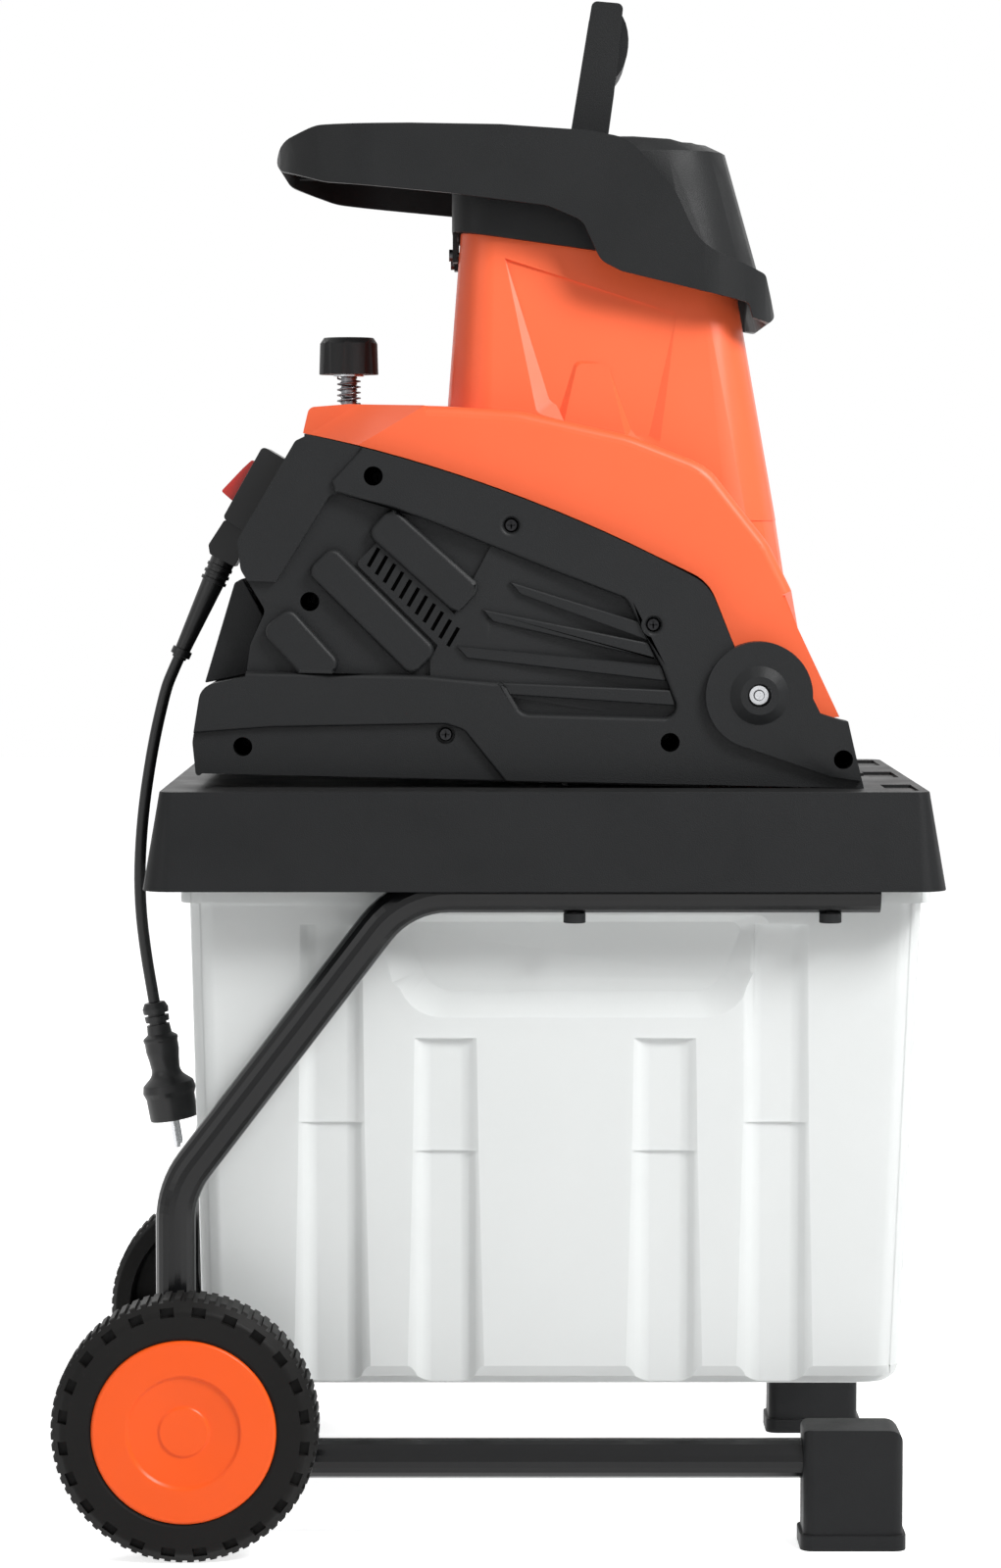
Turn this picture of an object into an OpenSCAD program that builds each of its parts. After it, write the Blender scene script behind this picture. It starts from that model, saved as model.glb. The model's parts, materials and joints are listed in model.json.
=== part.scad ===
// Knife-disc garden shredder with a catch box under a wheeled frame.
// X runs from the wheels to the feet, Y across, Z up. The origin is on the floor, at the middle.

/* [Frame] */
// Length over all, from the back of the wheels to the front of the tray
overall_l = 578; // [560:1:620]
// Distance from the middle plane to the centre of each side tube
frame_y = 180; // [170:1:200]
// Outer diameter of the side tubes
tube_d = 26; // [22:0.5:30]
// Wall of the side tubes
tube_wall = 1.8; // [1.2:0.1:3]
// Bend radius of the side tubes, to the centre line
bend_r = 60; // [50:1:70]
// Height of the top run of the side tubes
frame_top_z = 428; // [400:1:470]
// Height of the bottom run of the side tubes
frame_low_z = 57; // [48:1:60]
// Angle of the sloping run above the floor
slope_angle = 52.5; // [46:0.5:56]
// Place of the bend between the top run and the sloping run
top_corner_x = -63; // [-90:1:-40]
// Front end of the top run
top_run_end_x = 246; // [235:1:255]
// Diameter of the axle
axle_d = 12; // [10:0.5:14]

/* [Wheels] */
// Diameter over the tread
wheel_d = 172; // [150:1:190]
// Width of a wheel
wheel_w = 43; // [38:1:52]
// Gap between a side tube and its wheel, filled by a spacer
spacer_t = 4; // [2:0.5:8]
// Depth of the tread grooves
tread_depth = 2; // [1:0.25:3]
// Number of tread grooves
tread_count = 72; // [36:4:90]
// Number of pockets round the shoulder
pocket_count = 24; // [12:1:30]
// Diameter of the coloured wheel cap
wheel_cap_d = 119; // [110:1:124]

/* [Feet] */
// Length of a foot along the tube
foot_l = 65; // [50:1:80]
// Width of a foot
foot_w = 40; // [34:1:50]
// Height of a foot
foot_h = 79; // [76:1:95]
// Front face of the feet
foot_front_x = 262; // [240:1:275]

/* [Tray] */
// Length of the tray at its lower edge
tray_l = 521; // [500:1:540]
// Height of the tray
tray_h = 64; // [54:1:80]
// How far the tray draws in towards its top
tray_draft = 11; // [4:0.5:14]
// Overhang of the tray past the centre of the side tubes
tray_overhang = 20; // [17:0.5:30]
// How far the skirt hangs below the top of the side tubes
skirt_drop = 11; // [4:0.5:14]
// Wall of the tray
tray_wall = 4; // [3:0.25:6]
// Diameter of the bolts that hold the tray to the tubes
bolt_d = 8; // [6:0.5:10]

/* [Catch box] */
// Gap between the side tubes and the box
box_side_gap = 10; // [8:0.5:16]
// Wall of the box
box_wall = 2.6; // [2:0.1:4]
// Width of the flange that slides in the rails
box_flange_w = 7; // [5:0.5:8]
// Height of the box rim above the lower edge of the tray
box_rim_rise = 22; // [18:0.5:28]
// How far the front of the box draws in towards its floor
box_front_draft = 14; // [4:0.5:20]
// How far the other walls draw in towards the floor
box_side_draft = 8; // [3:0.5:12]
// Depth of the flutes in the long walls
flute_depth = 4; // [2:0.5:6]
// Depth of the hand grips in the long walls
grip_depth = 7; // [4:0.5:9]

/* [Lower housing] */
// Width of the lower housing over its raised bands
housing_w = 300; // [290:1:320]
// Thickness of the side plates at the bands
plate_t = 13; // [11:0.5:15]
// Depth of the sunk field in the side plates
field_depth = 9; // [6:0.25:9]
// Wall round the housing
housing_wall = 3; // [2.5:0.25:5]
// Radius of the arched seam under the upper housing
seam_r = 977; // [940:1:1000]
// Gap in the seam
seam_gap = 0.8; // [0.5:0.1:1.5]
// Diameter of the deep recesses for the long screws
screw_well_d = 12.6; // [11:0.2:14]

/* [Pivot] */
// Place of the pivot in front of the middle
pivot_x = 169; // [166:0.5:172]
// Height of the pivot above the tray
pivot_z = 61; // [60:0.5:64]
// Radius of the ears round the pivot
ear_r = 35; // [32:0.5:37]
// Diameter of the pivot pin
pivot_pin_d = 12; // [10:0.5:14]

/* [Upper housing] */
// Wall of the upper housing
upper_wall = 4.5; // [3.5:0.25:6]
// Length of the chute at its top
chute_top_l = 184; // [176:1:192]
// Width of the chute at its top
chute_top_w = 168; // [160:1:180]
// Width of the chute at its foot
chute_foot_w = 224; // [200:1:236]
// Height of the chute's top above the tray
chute_h = 354; // [340:1:360]

/* [Hopper] */
// Width of the hopper
hopper_w = 230; // [216:1:250]
// Wall of the hopper
hopper_wall = 3.5; // [2.5:0.25:5]
// Width of the feed throat
throat_w = 148; // [130:1:152]
// Length of the feed throat
throat_l = 150; // [130:1:156]

/* [Pusher] */
// Height of the pusher handle above the throat ledge
pusher_h = 121; // [105:1:135]
// Length of the paddle below the throat ledge
paddle_l = 170; // [120:1:180]
// Width of the paddle
paddle_w = 120; // [90:1:126]

/* [Cutter and motor] */
// Lean of the spindle towards the pivot
spindle_tilt = 25; // [22:0.5:27]
// Diameter of the knife disc
disc_d = 170; // [150:1:174]
// Thickness of the knife disc
disc_t = 8; // [6:0.5:10]
// Module of the gears
gear_module = 2; // [1.8:0.05:2.1]
// Teeth of the pinion
pinion_teeth = 14; // [13:1:15]
// Teeth of the drive gear
gear_teeth = 30; // [28:2:32]
// Diameter of the stator
stator_d = 96; // [84:1:98]
// Length of the stator
stator_l = 56; // [46:1:58]
// Diameter of the spindle
spindle_d = 17; // [15:0.5:18]

/* [Lock] */
// Diameter of the lock knob
knob_d = 41; // [36:1:48]
// Height of the lock knob
knob_h = 25; // [20:1:30]
// Diameter of the lock stud
stud_d = 12; // [10:0.5:13]
// Length of the spring with the knob up
spring_l = 20; // [18:0.5:24]
// Wire of the lock spring
spring_wire = 1.4; // [1:0.1:1.6]
// Curls of the lock spring
spring_curls = 4.5; // [3.5:0.5:5]
// Travel of the knob when it is screwed down
lock_travel = 12; // [9:0.5:12]

/* [Switch and lead] */
// Width of the switch box
switch_w = 64; // [54:1:80]
// Height of the switch box off the housing
switch_h = 22; // [18:0.5:26]
// Length of the strain relief below the inlet block
relief_l = 74; // [60:1:80]
// Diameter of the mains lead
cord_d = 8; // [6:0.5:9]
// Diameter of the plug
plug_d = 37; // [34:0.5:39]

/* [Hidden] */
$fn = 48;

// Clearances
run_gap = 0.06;
seat_gap = 0.2;
slide_gap = 0.3;
eps = 0.01;

// Colours
black = "#2a2c2e";
orange = "#ff5a22";
milky = "#e8ece9";
steel = "#b8bcc0";
dark_steel = "#6d7176";
copper = "#b8703a";
brass = "#c8a045";
red = "#b3231c";

// Levels and places that follow from the driving sizes
wheel_r = wheel_d / 2;
wheel_x = -overall_l / 2 + wheel_r;
bend_lift = asin((frame_low_z + bend_r - wheel_r) / bend_r);
tube_back_x = wheel_x - bend_r * (1 - cos(bend_lift));
slope_low_z = frame_top_z - (top_corner_x - tube_back_x) * tan(slope_angle);
wheel_in_y = frame_y + tube_d / 2 + spacer_t;
tray_front_x = overall_l / 2;
tray_back_x = tray_front_x - tray_l;
tray_half_w = frame_y + tray_overhang;
tray_z = frame_top_z + tube_d / 2 - skirt_drop;
deck_z = tray_z + tray_h;
bolt_x = [48, 214];

// Plain helpers
function unit(v) = v / norm(v);
function wrap(a) = a - 360 * floor((a + 180) / 360);
function flat(p) = [p.x, p.y];
function polar(r, a) = r * [cos(a), sin(a)];

// Arc that rounds the corner b between a and c, no longer than its sides allow
function fillet(a, b, c, r, n) =
  let (u = unit(a - b), w = unit(c - b), half = acos(max(-1, min(1, u * w))) / 2)
  let (d = min(r / tan(half), norm(a - b) * 0.48, norm(c - b) * 0.48), k = d * tan(half))
  let (m = b + unit(u + w) * k / sin(half), p = b + u * d - m, q = b + w * d - m)
  let (a0 = atan2(p.y, p.x), da = wrap(atan2(q.y, q.x) - a0))
  [for (i = [0:n]) m + polar(k, a0 + da * i / n)];

// Outline through corners [x, y, radius], where a missing radius is a sharp corner
function rounded(pts, n = 5) =
  [for (i = [0:len(pts) - 1])
    let (k = len(pts), a = pts[(i + k - 1) % k], b = pts[i], c = pts[(i + 1) % k])
    each (len(b) < 3 ? [b] : fillet(flat(a), flat(b), flat(c), b[2], n))];

function rect(x0, x1, y, r) = rounded([[x0, -y, r], [x1, -y, r], [x1, y, r], [x0, y, r]], 4);

// Extrudes a side view, drawn in X and Z, from y0 to y1
module side(y0, y1) {
  translate([0, y1, 0]) rotate([90, 0, 0]) linear_extrude(y1 - y0) children();
}

// Shape drawn on the right side, or mirrored to the left side
module on_side(left) {
  if (left) mirror([0, 1, 0]) children();
  else children();
}

module both_sides() {
  children();
  mirror([0, 1, 0]) children();
}

// Blend of two level outlines
module loft(z0, low, z1, high) {
  hull() {
    translate([0, 0, z0]) linear_extrude(eps) polygon(low);
    translate([0, 0, z1 - eps]) linear_extrude(eps) polygon(high);
  }
}

// Closed tube through a list of points, with a ring at each
function ring_frame(path, i) =
  let (k = len(path) - 1, t = unit(path[min(i + 1, k)] - path[max(i - 1, 0)]))
  let (side = abs(t.y) < 0.9 ? [0, 1, 0] : [0, 0, 1], n = unit(cross(side, t)))
  [n, cross(t, n)];

module swept_tube(path, d, sides) {
  k = len(path);
  points = [for (i = [0:k - 1]) let (f = ring_frame(path, i)) for (j = [0:sides - 1])
    path[i] + d / 2 * (cos(360 * j / sides) * f[0] + sin(360 * j / sides) * f[1])];
  skin = [for (i = [0:k - 2]) for (j = [0:sides - 1])
    let (a = i * sides + j, b = i * sides + (j + 1) % sides)
    each [[a, a + sides, b], [b, a + sides, b + sides]]];
  low_end = [for (j = [1:sides - 2]) [0, j, j + 1]];
  top = (k - 1) * sides;
  high_end = [for (j = [1:sides - 2]) [top, top + j + 1, top + j]];
  polyhedron(points, concat(skin, low_end, high_end));
}

// Side frame: one bent tube on each side, which ends inside the foot
foot_cap = 9;
frame_path = [[top_run_end_x, frame_top_z], [top_corner_x, frame_top_z], [tube_back_x, slope_low_z],
  [tube_back_x, frame_low_z], [foot_front_x - foot_cap, frame_low_z]];

tube_sides = 20;
tube_line = [for (i = [0:len(frame_path) - 1]) let (p = frame_path, k = len(p) - 1)
  each (i == 0 || i == k ? [p[i]] : fillet(p[i - 1], p[i], p[i + 1], bend_r, 8))];

module frame_run(d, over) {
  k = len(tube_line) - 1;
  first = tube_line[0] + over * unit(tube_line[0] - tube_line[1]);
  last = tube_line[k] + over * unit(tube_line[k] - tube_line[k - 1]);
  line = [for (i = [0:k]) i == 0 ? first : i == k ? last : tube_line[i]];
  swept_tube([for (p = line) [p.x, 0, p.y]], d, tube_sides);
}

module frame_tube(left) {
  color(black) on_side(left) translate([0, -frame_y, 0]) difference() {
    frame_run(tube_d, 0);
    frame_run(tube_d - 2 * tube_wall, 1);
    for (x = bolt_x) translate([x, 0, frame_top_z]) cylinder(h = 2 * tube_d, d = bolt_d + 0.6, center = true);
    translate([wheel_x, 0, wheel_r]) rotate([90, 0, 0]) cylinder(h = 2 * tube_d, d = axle_d + seat_gap,
      center = true);
  }
}

module frame_tube_right() frame_tube(false);
module frame_tube_left() frame_tube(true);

// Feet
foot_lip = 2;
foot_lip_h = 10;

module foot(left) {
  x0 = foot_front_x - foot_l;
  mid = (x0 + foot_front_x) / 2;
  color(black) on_side(left) translate([0, -frame_y, 0]) difference() {
    union() {
      intersection() {
        side(-foot_w, foot_w) polygon(rounded([[x0, 0], [foot_front_x, 0], [foot_front_x, foot_h, 9],
          [x0, foot_h, 4]]));
        linear_extrude(foot_h + 1) polygon(rect(x0, foot_front_x, foot_w / 2, 7));
      }
      linear_extrude(foot_lip_h) polygon(rect(x0 - foot_lip, foot_front_x + foot_lip,
        foot_w / 2 + foot_lip, 8));
    }
    translate([x0 - 1, 0, frame_low_z]) rotate([0, 90, 0])
      cylinder(h = foot_l - foot_cap + 1 + seat_gap, d = tube_d + seat_gap);
    translate([mid - foot_l / 4, -foot_w / 4, -1]) cube([foot_l / 2, foot_w / 2, foot_lip_h + 11]);
  }
}

module foot_right() foot(false);
module foot_left() foot(true);

// Axle and wheels
hub_set_in = 14;
hub_l = wheel_w - hub_set_in;
hub_d = axle_d + 18;
axle_cap_t = 2;
axle_half = wheel_in_y + hub_l + axle_cap_t + 3;
cap_ledge = 5;
web_t = 4;
web_w = 20;
rim_back_r = wheel_r - 14;
cap_well_r = wheel_cap_d / 2 + 0.4;

module on_axle(y) translate([wheel_x, y, wheel_r]) rotate([90, 0, 0]) children();

module axle() {
  color(dark_steel) on_axle(axle_half) cylinder(h = 2 * axle_half, d = axle_d);
}

module axle_spacers() {
  color(black) both_sides() on_axle(-frame_y - tube_d / 2 - 0.1) difference() {
    cylinder(h = spacer_t - slide_gap, d = hub_d - 4);
    translate([0, 0, -1]) cylinder(h = spacer_t + 2, d = axle_d + seat_gap);
  }
}

module axle_caps() {
  color(steel) both_sides() on_axle(-wheel_in_y - hub_l - slide_gap) difference() {
    cylinder(h = axle_cap_t, d = axle_d + 10);
    translate([0, 0, -1]) cylinder(h = axle_cap_t + 2, d = axle_d + seat_gap);
  }
}

module wheel(left) {
  bore = axle_d / 2 + run_gap;
  well = cap_well_r - 6;
  section = rounded([[bore, 0], [hub_d / 2, 0], [hub_d / 2, web_w], [rim_back_r - 2, web_w, 3],
    [rim_back_r, 0],
    [wheel_r - 4, 0, 2], [wheel_r, 6, 3], [wheel_r, wheel_w - 8, 4], [wheel_r - 8, wheel_w, 6],
    [cap_well_r + 2, wheel_w - 1, 1], [cap_well_r, wheel_w - 2], [cap_well_r, wheel_w - cap_ledge],
    [well, wheel_w - cap_ledge], [well, web_w + web_t], [hub_d / 2, web_w + web_t], [hub_d / 2, hub_l],
      [bore, hub_l]]);
  color(black) on_side(left) on_axle(-wheel_in_y) difference() {
    union() {
      rotate_extrude() polygon(section);
      for (a = [0:45:315]) rotate(a) translate([hub_d / 2 - 2, -1.5, 4]) cube([rim_back_r - hub_d / 2, 3,
        web_w - 3]);
    }
    for (i = [0:tread_count - 1]) rotate(i * 360 / tread_count)
      translate([wheel_r - tread_depth, -1.7, -1]) cube([2 * tread_depth, 3.4, wheel_w + 2]);
    for (i = [0:pocket_count - 1]) rotate((i + 0.5) * 360 / pocket_count)
      translate([wheel_r - 11, -4.5, wheel_w - 6]) cube([6, 9, 10]);
  }
}

module wheel_right() wheel(false);
module wheel_left() wheel(true);

module wheel_cap(left) {
  r = wheel_cap_d / 2;
  t = 2.4;
  w = wheel_w - cap_ledge + seat_gap;
  dish = 4;
  step = 2;
  face = cap_ledge - seat_gap;
  color(orange) on_side(left) on_axle(-wheel_in_y - w) rotate_extrude()
    polygon([[0, face - dish - t], [r * 0.3, face - dish - t], [r * 0.6, face - step - t], [r * 0.66,
      face - t],
      [r - 5, face - t], [r - 5, 0], [r, 0], [r, face - 1.5], [r - 1.5, face], [r * 0.62, face],
      [r * 0.59, face - step], [r * 0.28, face - dish], [r * 0.26, face - dish + 1.5], [0,
        face - dish + 1.5]]);
}

module wheel_cap_right() wheel_cap(false);
module wheel_cap_left() wheel_cap(true);

// Tray that joins the side tubes and carries the housing
box_half_w = frame_y - tube_d / 2 - box_side_gap;
rim_z = tray_z + box_rim_rise;
flange_t = 3;
rail_t = 3;
rail_in_y = box_half_w + box_flange_w + 1.5;
lip_top_z = rim_z - flange_t - slide_gap;
boss_d = bolt_d + 8;
tray_corner_r = 18;
chip_x = [48, 97];
chip_half_y = 62;

module tray_bolt_places() {
  for (x = bolt_x) translate([x, -frame_y, 0]) children();
}

module tray_rail() {
  x0 = tray_back_x + tray_draft + tray_wall;
  x1 = tray_front_x - tray_draft - tray_wall;
  translate([x0, 0, 0]) rotate([90, 0, 90]) linear_extrude(x1 - x0)
    polygon([[-rail_in_y - rail_t, deck_z - tray_wall + 1], [-rail_in_y - rail_t, lip_top_z - rail_t],
      [-box_half_w - 2, lip_top_z - rail_t], [-box_half_w - 2, lip_top_z], [-rail_in_y, lip_top_z],
      [-rail_in_y, deck_z - tray_wall + 1]]);
}

module tray_pockets() {
  depth = 2.2;
  x1 = tray_front_x - tray_draft - 6;
  for (y = [-142, 0, 142]) translate([x1 - 20, y - 32, deck_z - depth]) cube([20, 64, depth + 1]);
  translate([x1 - 38, -18, deck_z - depth]) cube([20, 36, depth + 1]);
}

module base_tray() {
  t = tray_wall;
  d = tray_draft;
  color(black) difference() {
    union() {
      difference() {
        loft(tray_z, rect(tray_back_x, tray_front_x, tray_half_w, tray_corner_r),
          deck_z, rect(tray_back_x + d, tray_front_x - d, tray_half_w - d, tray_corner_r / 2));
        loft(tray_z - 1, rect(tray_back_x + t, tray_front_x - t, tray_half_w - t, tray_corner_r - t),
          deck_z - t, rect(tray_back_x + d + t, tray_front_x - d - t, tray_half_w - d - t,
            tray_corner_r / 2));
      }
      both_sides() tray_rail();
      both_sides() tray_bolt_places() translate([0, 0, frame_top_z + tube_d / 2 + 0.1])
        cylinder(h = deck_z - t + 1 - frame_top_z - tube_d / 2, d = boss_d);
    }
    both_sides() tray_bolt_places() translate([0, 0, frame_top_z]) cylinder(h = bolt_reach,
      d = bolt_d + seat_gap);
    tray_pockets();
    translate([chip_x[0], -chip_half_y, deck_z - 2 * t]) cube([chip_x[1] - chip_x[0], 2 * chip_half_y,
      3 * t]);
    translate([tray_front_x - 2 * d - t, -rail_in_y - 1, tray_z - 1])
      cube([2 * d + t + 1, 2 * rail_in_y + 2, box_rim_rise + 8]);
  }
}

bolt_reach = deck_z - frame_top_z - 8;
bolt_head_h = 6.5;
bolt_head_d = bolt_d + 6.5;

module tray_bolts() {
  low = frame_top_z - tube_d / 2;
  color(black) both_sides() tray_bolt_places() {
    translate([0, 0, low - bolt_head_h]) cylinder(h = bolt_head_h - 0.1, d = bolt_head_d);
    translate([0, 0, low - 1]) cylinder(h = bolt_reach + tube_d / 2, d = bolt_d);
  }
}

// Catch box, drawn on a frame whose near wall leans with the draft
box_back_x = tray_back_x + 27;
box_front_x = tray_front_x - 11;
box_low_z = wheel_r + axle_d / 2 + 5.5;
box_h = rim_z - box_low_z;
box_floor_r = 14;
rim_band_w = 5;
flute_x = [-111, -36, 108, 181];
flute_top_z = [405, 330, 330, 405];
flute_step_z = [274, 255, 255, 274];
flute_w = 44;
flute_flank = 9;
grip_mid_x = 48;

function box_outline(z, inset) =
  let (s = 1 - (z - box_low_z) / box_h, u = z - box_low_z, q = box_floor_r)
  let (round_in = u < q ? q - sqrt(q * q - (q - u) * (q - u)) : 0)
  let (d = inset + round_in)
  rect(box_back_x + s * box_side_draft + d, box_front_x - s * box_front_draft - d,
    box_half_w - s * box_side_draft - d, 16);

module box_form(inset, z0, z1) {
  levels = concat([for (i = [0:3]) z0 + box_floor_r * (1 - cos(30 * i))], [z1]);
  hull() for (z = levels) translate([0, 0, z]) linear_extrude(eps) polygon(box_outline(z - inset, inset));
}

// Frame on the right wall of the box, X along the wall, Y up the wall and Z out of it
module on_box_wall() {
  lean = atan(box_side_draft / box_h);
  translate([0, -box_half_w + box_side_draft, box_low_z]) rotate([90 + lean, 0, 0]) children();
}

module flute(i, grow) {
  low = -30;
  for (step = [0, 1]) {
    top = (step == 0 ? flute_top_z[i] : flute_step_z[i]) - box_low_z + grow;
    deep = flute_depth * (1 + 0.5 * step) + grow;
    on_box_wall() translate([flute_x[i], low, -deep]) rotate([-90, 0, 0]) mirror([0, 1, 0])
      linear_extrude(top - low) polygon([[-flute_w / 2 + flute_flank - grow, 0],
        [flute_w / 2 - flute_flank + grow, 0],
        [flute_w / 2 + grow + 4, deep + 3], [-flute_w / 2 - grow - 4, deep + 3]]);
  }
}

module grip_recess(grow) {
  z0 = 340 - box_low_z;
  z1 = 412 - box_low_z;
  outer = rounded([[grip_mid_x - 110, z0, 30], [grip_mid_x + 110, z0, 30], [grip_mid_x + 136, z1, 8],
    [grip_mid_x - 136, z1, 8]]);
  inner = rounded([[grip_mid_x - 94, z0 + 20, 24], [grip_mid_x + 94, z0 + 20, 24], [grip_mid_x + 112,
    z1 - 6, 6],
    [grip_mid_x - 112, z1 - 6, 6]]);
  on_box_wall() hull() {
    translate([0, 0, -grip_depth - grow]) linear_extrude(eps) offset(delta = grow / 2) polygon(inner);
    translate([0, 0, 2]) linear_extrude(eps) offset(delta = grow + 1) polygon(outer);
  }
}

module catch_box() {
  color(milky) difference() {
    union() {
      box_form(0, box_low_z, rim_z);
      translate([0, 0, rim_z - flange_t]) linear_extrude(flange_t)
        polygon(rect(box_back_x - rim_band_w, box_front_x + rim_band_w, box_half_w + box_flange_w, 16));
      translate([0, 0, tray_z - skirt_drop])
        linear_extrude(lip_top_z - rail_t - slide_gap - tray_z + skirt_drop)
        polygon(rect(box_back_x - rim_band_w, box_front_x + rim_band_w, box_half_w + 1, 16));
    }
    difference() {
      box_form(box_wall, box_low_z + box_wall, rim_z + 1);
      for (i = [0:3]) both_sides() flute(i, box_wall);
      both_sides() grip_recess(box_wall);
    }
    for (i = [0:3]) both_sides() flute(i, 0);
    both_sides() grip_recess(0);
  }
}

// Everything above the tray is drawn from the top of the tray
module head() translate([0, 0, deck_z]) children();

// Lower housing, two half shells that meet on the middle plane
half_w = housing_w / 2;
plate_in = half_w - plate_t;
seam_mid = [-333, 253.3 - seam_r];
seam_start_x = -128;
seam_end_x = 100;
seam_foot = [152, 95];
chute_floor_x = [44, 99];
pivot = [pivot_x, pivot_z];
switch_foot = [-172, 162];
switch_head = [-134, 227];

function seam_z(x, gap) = seam_mid.y + sqrt(pow(seam_r + gap, 2) - pow(x - seam_mid.x, 2));
function seam_edge(gap) = concat(
  [for (i = [0:14]) let (x = seam_start_x + (seam_end_x - seam_start_x) * i / 14) [x, seam_z(x, gap)]],
  [for (p = fillet([seam_end_x, seam_z(seam_end_x, gap)], [136 + gap, seam_z(136, gap) + gap],
    seam_foot + [gap, 0], 30, 6)) p],
  [seam_foot + [gap, 0]]);

back_edge = rounded([[-199, 0, 2], [-202, 30, 14], [-196, 67, 12], [-167, 73], [-164, 94, 12], [-154, 116, 6],
  [-170, 143, 9], [switch_foot.x, switch_foot.y, 6], [switch_head.x, switch_head.y, 4], [-128, 229.8]]);
shell_outline = concat(back_edge, seam_edge(0), [[138, 84], [136, 0]]);
front_edge = [[154, 88], [pivot_x, pivot_z], [204, 57], [209, 48], [227, 44], [238, 0]];
plate_outline = concat(back_edge, seam_edge(0), front_edge);
ear_outline = [[pivot_x - 15, pivot_z - 31.5], [216, 8], [236, 5], [227, 44], [222, 45], [209, 49],
  [pivot_x + 34, pivot_z]];
field_outline = rounded([[-110, 194, 7], [-50, 176, 60], [32, 143, 60], [82, 124, 10], [105, 79], [118, 46,
  7],
  [14, 49, 8], [2, 69, 8], [-50, 74], [-200, 77], [-200, 137], [-147, 135]]);
base_panel = rounded([[-230, -12], [-230, 34], [-150, 40, 60], [-36, 42, 10], [-24, 38, 10], [16, -12]]);
switch_panel = [[-91, 260], [-91, 221], [-110, 201], [-104, 184], [-128, 148], [-136, 128], [-148, 96],
  [-220, 96], [-220, 260]];
long_screws = [[-83, 204], [111, 30], [224, 19], [-169, 27], [-125, 122]];
// Short screws: place and width of the well
short_screws = [[7, 172, screw_well_d - 3], [100, 107, screw_well_d - 3], [-36, 35, screw_well_d]];
// Raised bars: middle, length and angle
bars = [[-84, 116, 98, -45], [-50, 149, 80, -42], [-130, 92, 52, -48]];
bar_w = 25;
ramp_depth = 4.5;
ramp_x = -8;
ramp_view = [[0, 170], [-46, 84], [-46, 70], [4, 60], [130, 40], [86, 130], [32, 150]];
vent_strip = [-57, 125, 84, -45];
vent_strip_w = 22;
vent_count = 11;
fins = [[9, 133, 96, 102], [-9, 115, 102, 89], [-26, 91, 108, 75], [3, 67, 114, 59]];

ear_proud = 6;
base_panel_depth = 4.5;
switch_panel_depth = 4;
well_floor_y = 40;
screw_d = 4.6;
boss_r = screw_well_d / 2 + 2.4;
pilot_l = 26;
short_l = 9;

// Rounded rectangle about a middle, turned by an angle
function plaque(b, w, r) = [for (p = rect(-b[2] / 2, b[2] / 2, w / 2, r))
  [b[0] + p.x * cos(b[3]) - p.y * sin(b[3]), b[1] + p.x * sin(b[3]) + p.y * cos(b[3])]];

// Bars, vent strip and fins that stand on the floor of the field, and the floor that falls away under the fins
module side_relief() {
  floor_y = -half_w + field_depth + 1;
  for (b = bars) side(-half_w + 0.6, floor_y) polygon(plaque(b, bar_w, 7));
  side(-half_w + field_depth / 2, floor_y) polygon(plaque(vent_strip, vent_strip_w, 3));
  for (f = fins) side(-half_w + 2, floor_y)
    polygon([[f[0] - 3, f[1] + 2], [f[0] + 4, f[1] - 6], [f[2], f[3] - 5], [f[2], f[3] + 5]]);
  intersection() {
    side(-half_w, floor_y) polygon(ramp_view);
    translate([0, 0, 20]) linear_extrude(180)
      polygon([[-60, -half_w + ramp_depth], [ramp_x, -half_w + ramp_depth], [100,
        -half_w + field_depth + 1.5], [-60, -half_w + field_depth + 1.5]]);
  }
}

module vent_slots() {
  for (i = [0:vent_count - 1]) translate([-83 + 5.2 * i, 151 - 5.2 * i]) rotate(60) square([14, 2.6],
    center = true);
}

module pivot_boss() {
  translate([pivot_x, -half_w - ear_proud, pivot_z]) rotate([90, 0, 0]) cylinder(h = 5, r1 = 19.3, r2 = 12.5);
}

// Plates that lie square to the spindle or along it, trimmed to the inside of the shell
module drive_plate(x0, x1, z0, z1, y0) {
  intersection() {
    drive() translate([x0, -plate_in - 1, z0]) cube([x1 - x0, plate_in + 1 - y0, z1 - z0]);
    head() side(-plate_in - 1, 0) polygon(shell_outline);
  }
}

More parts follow.
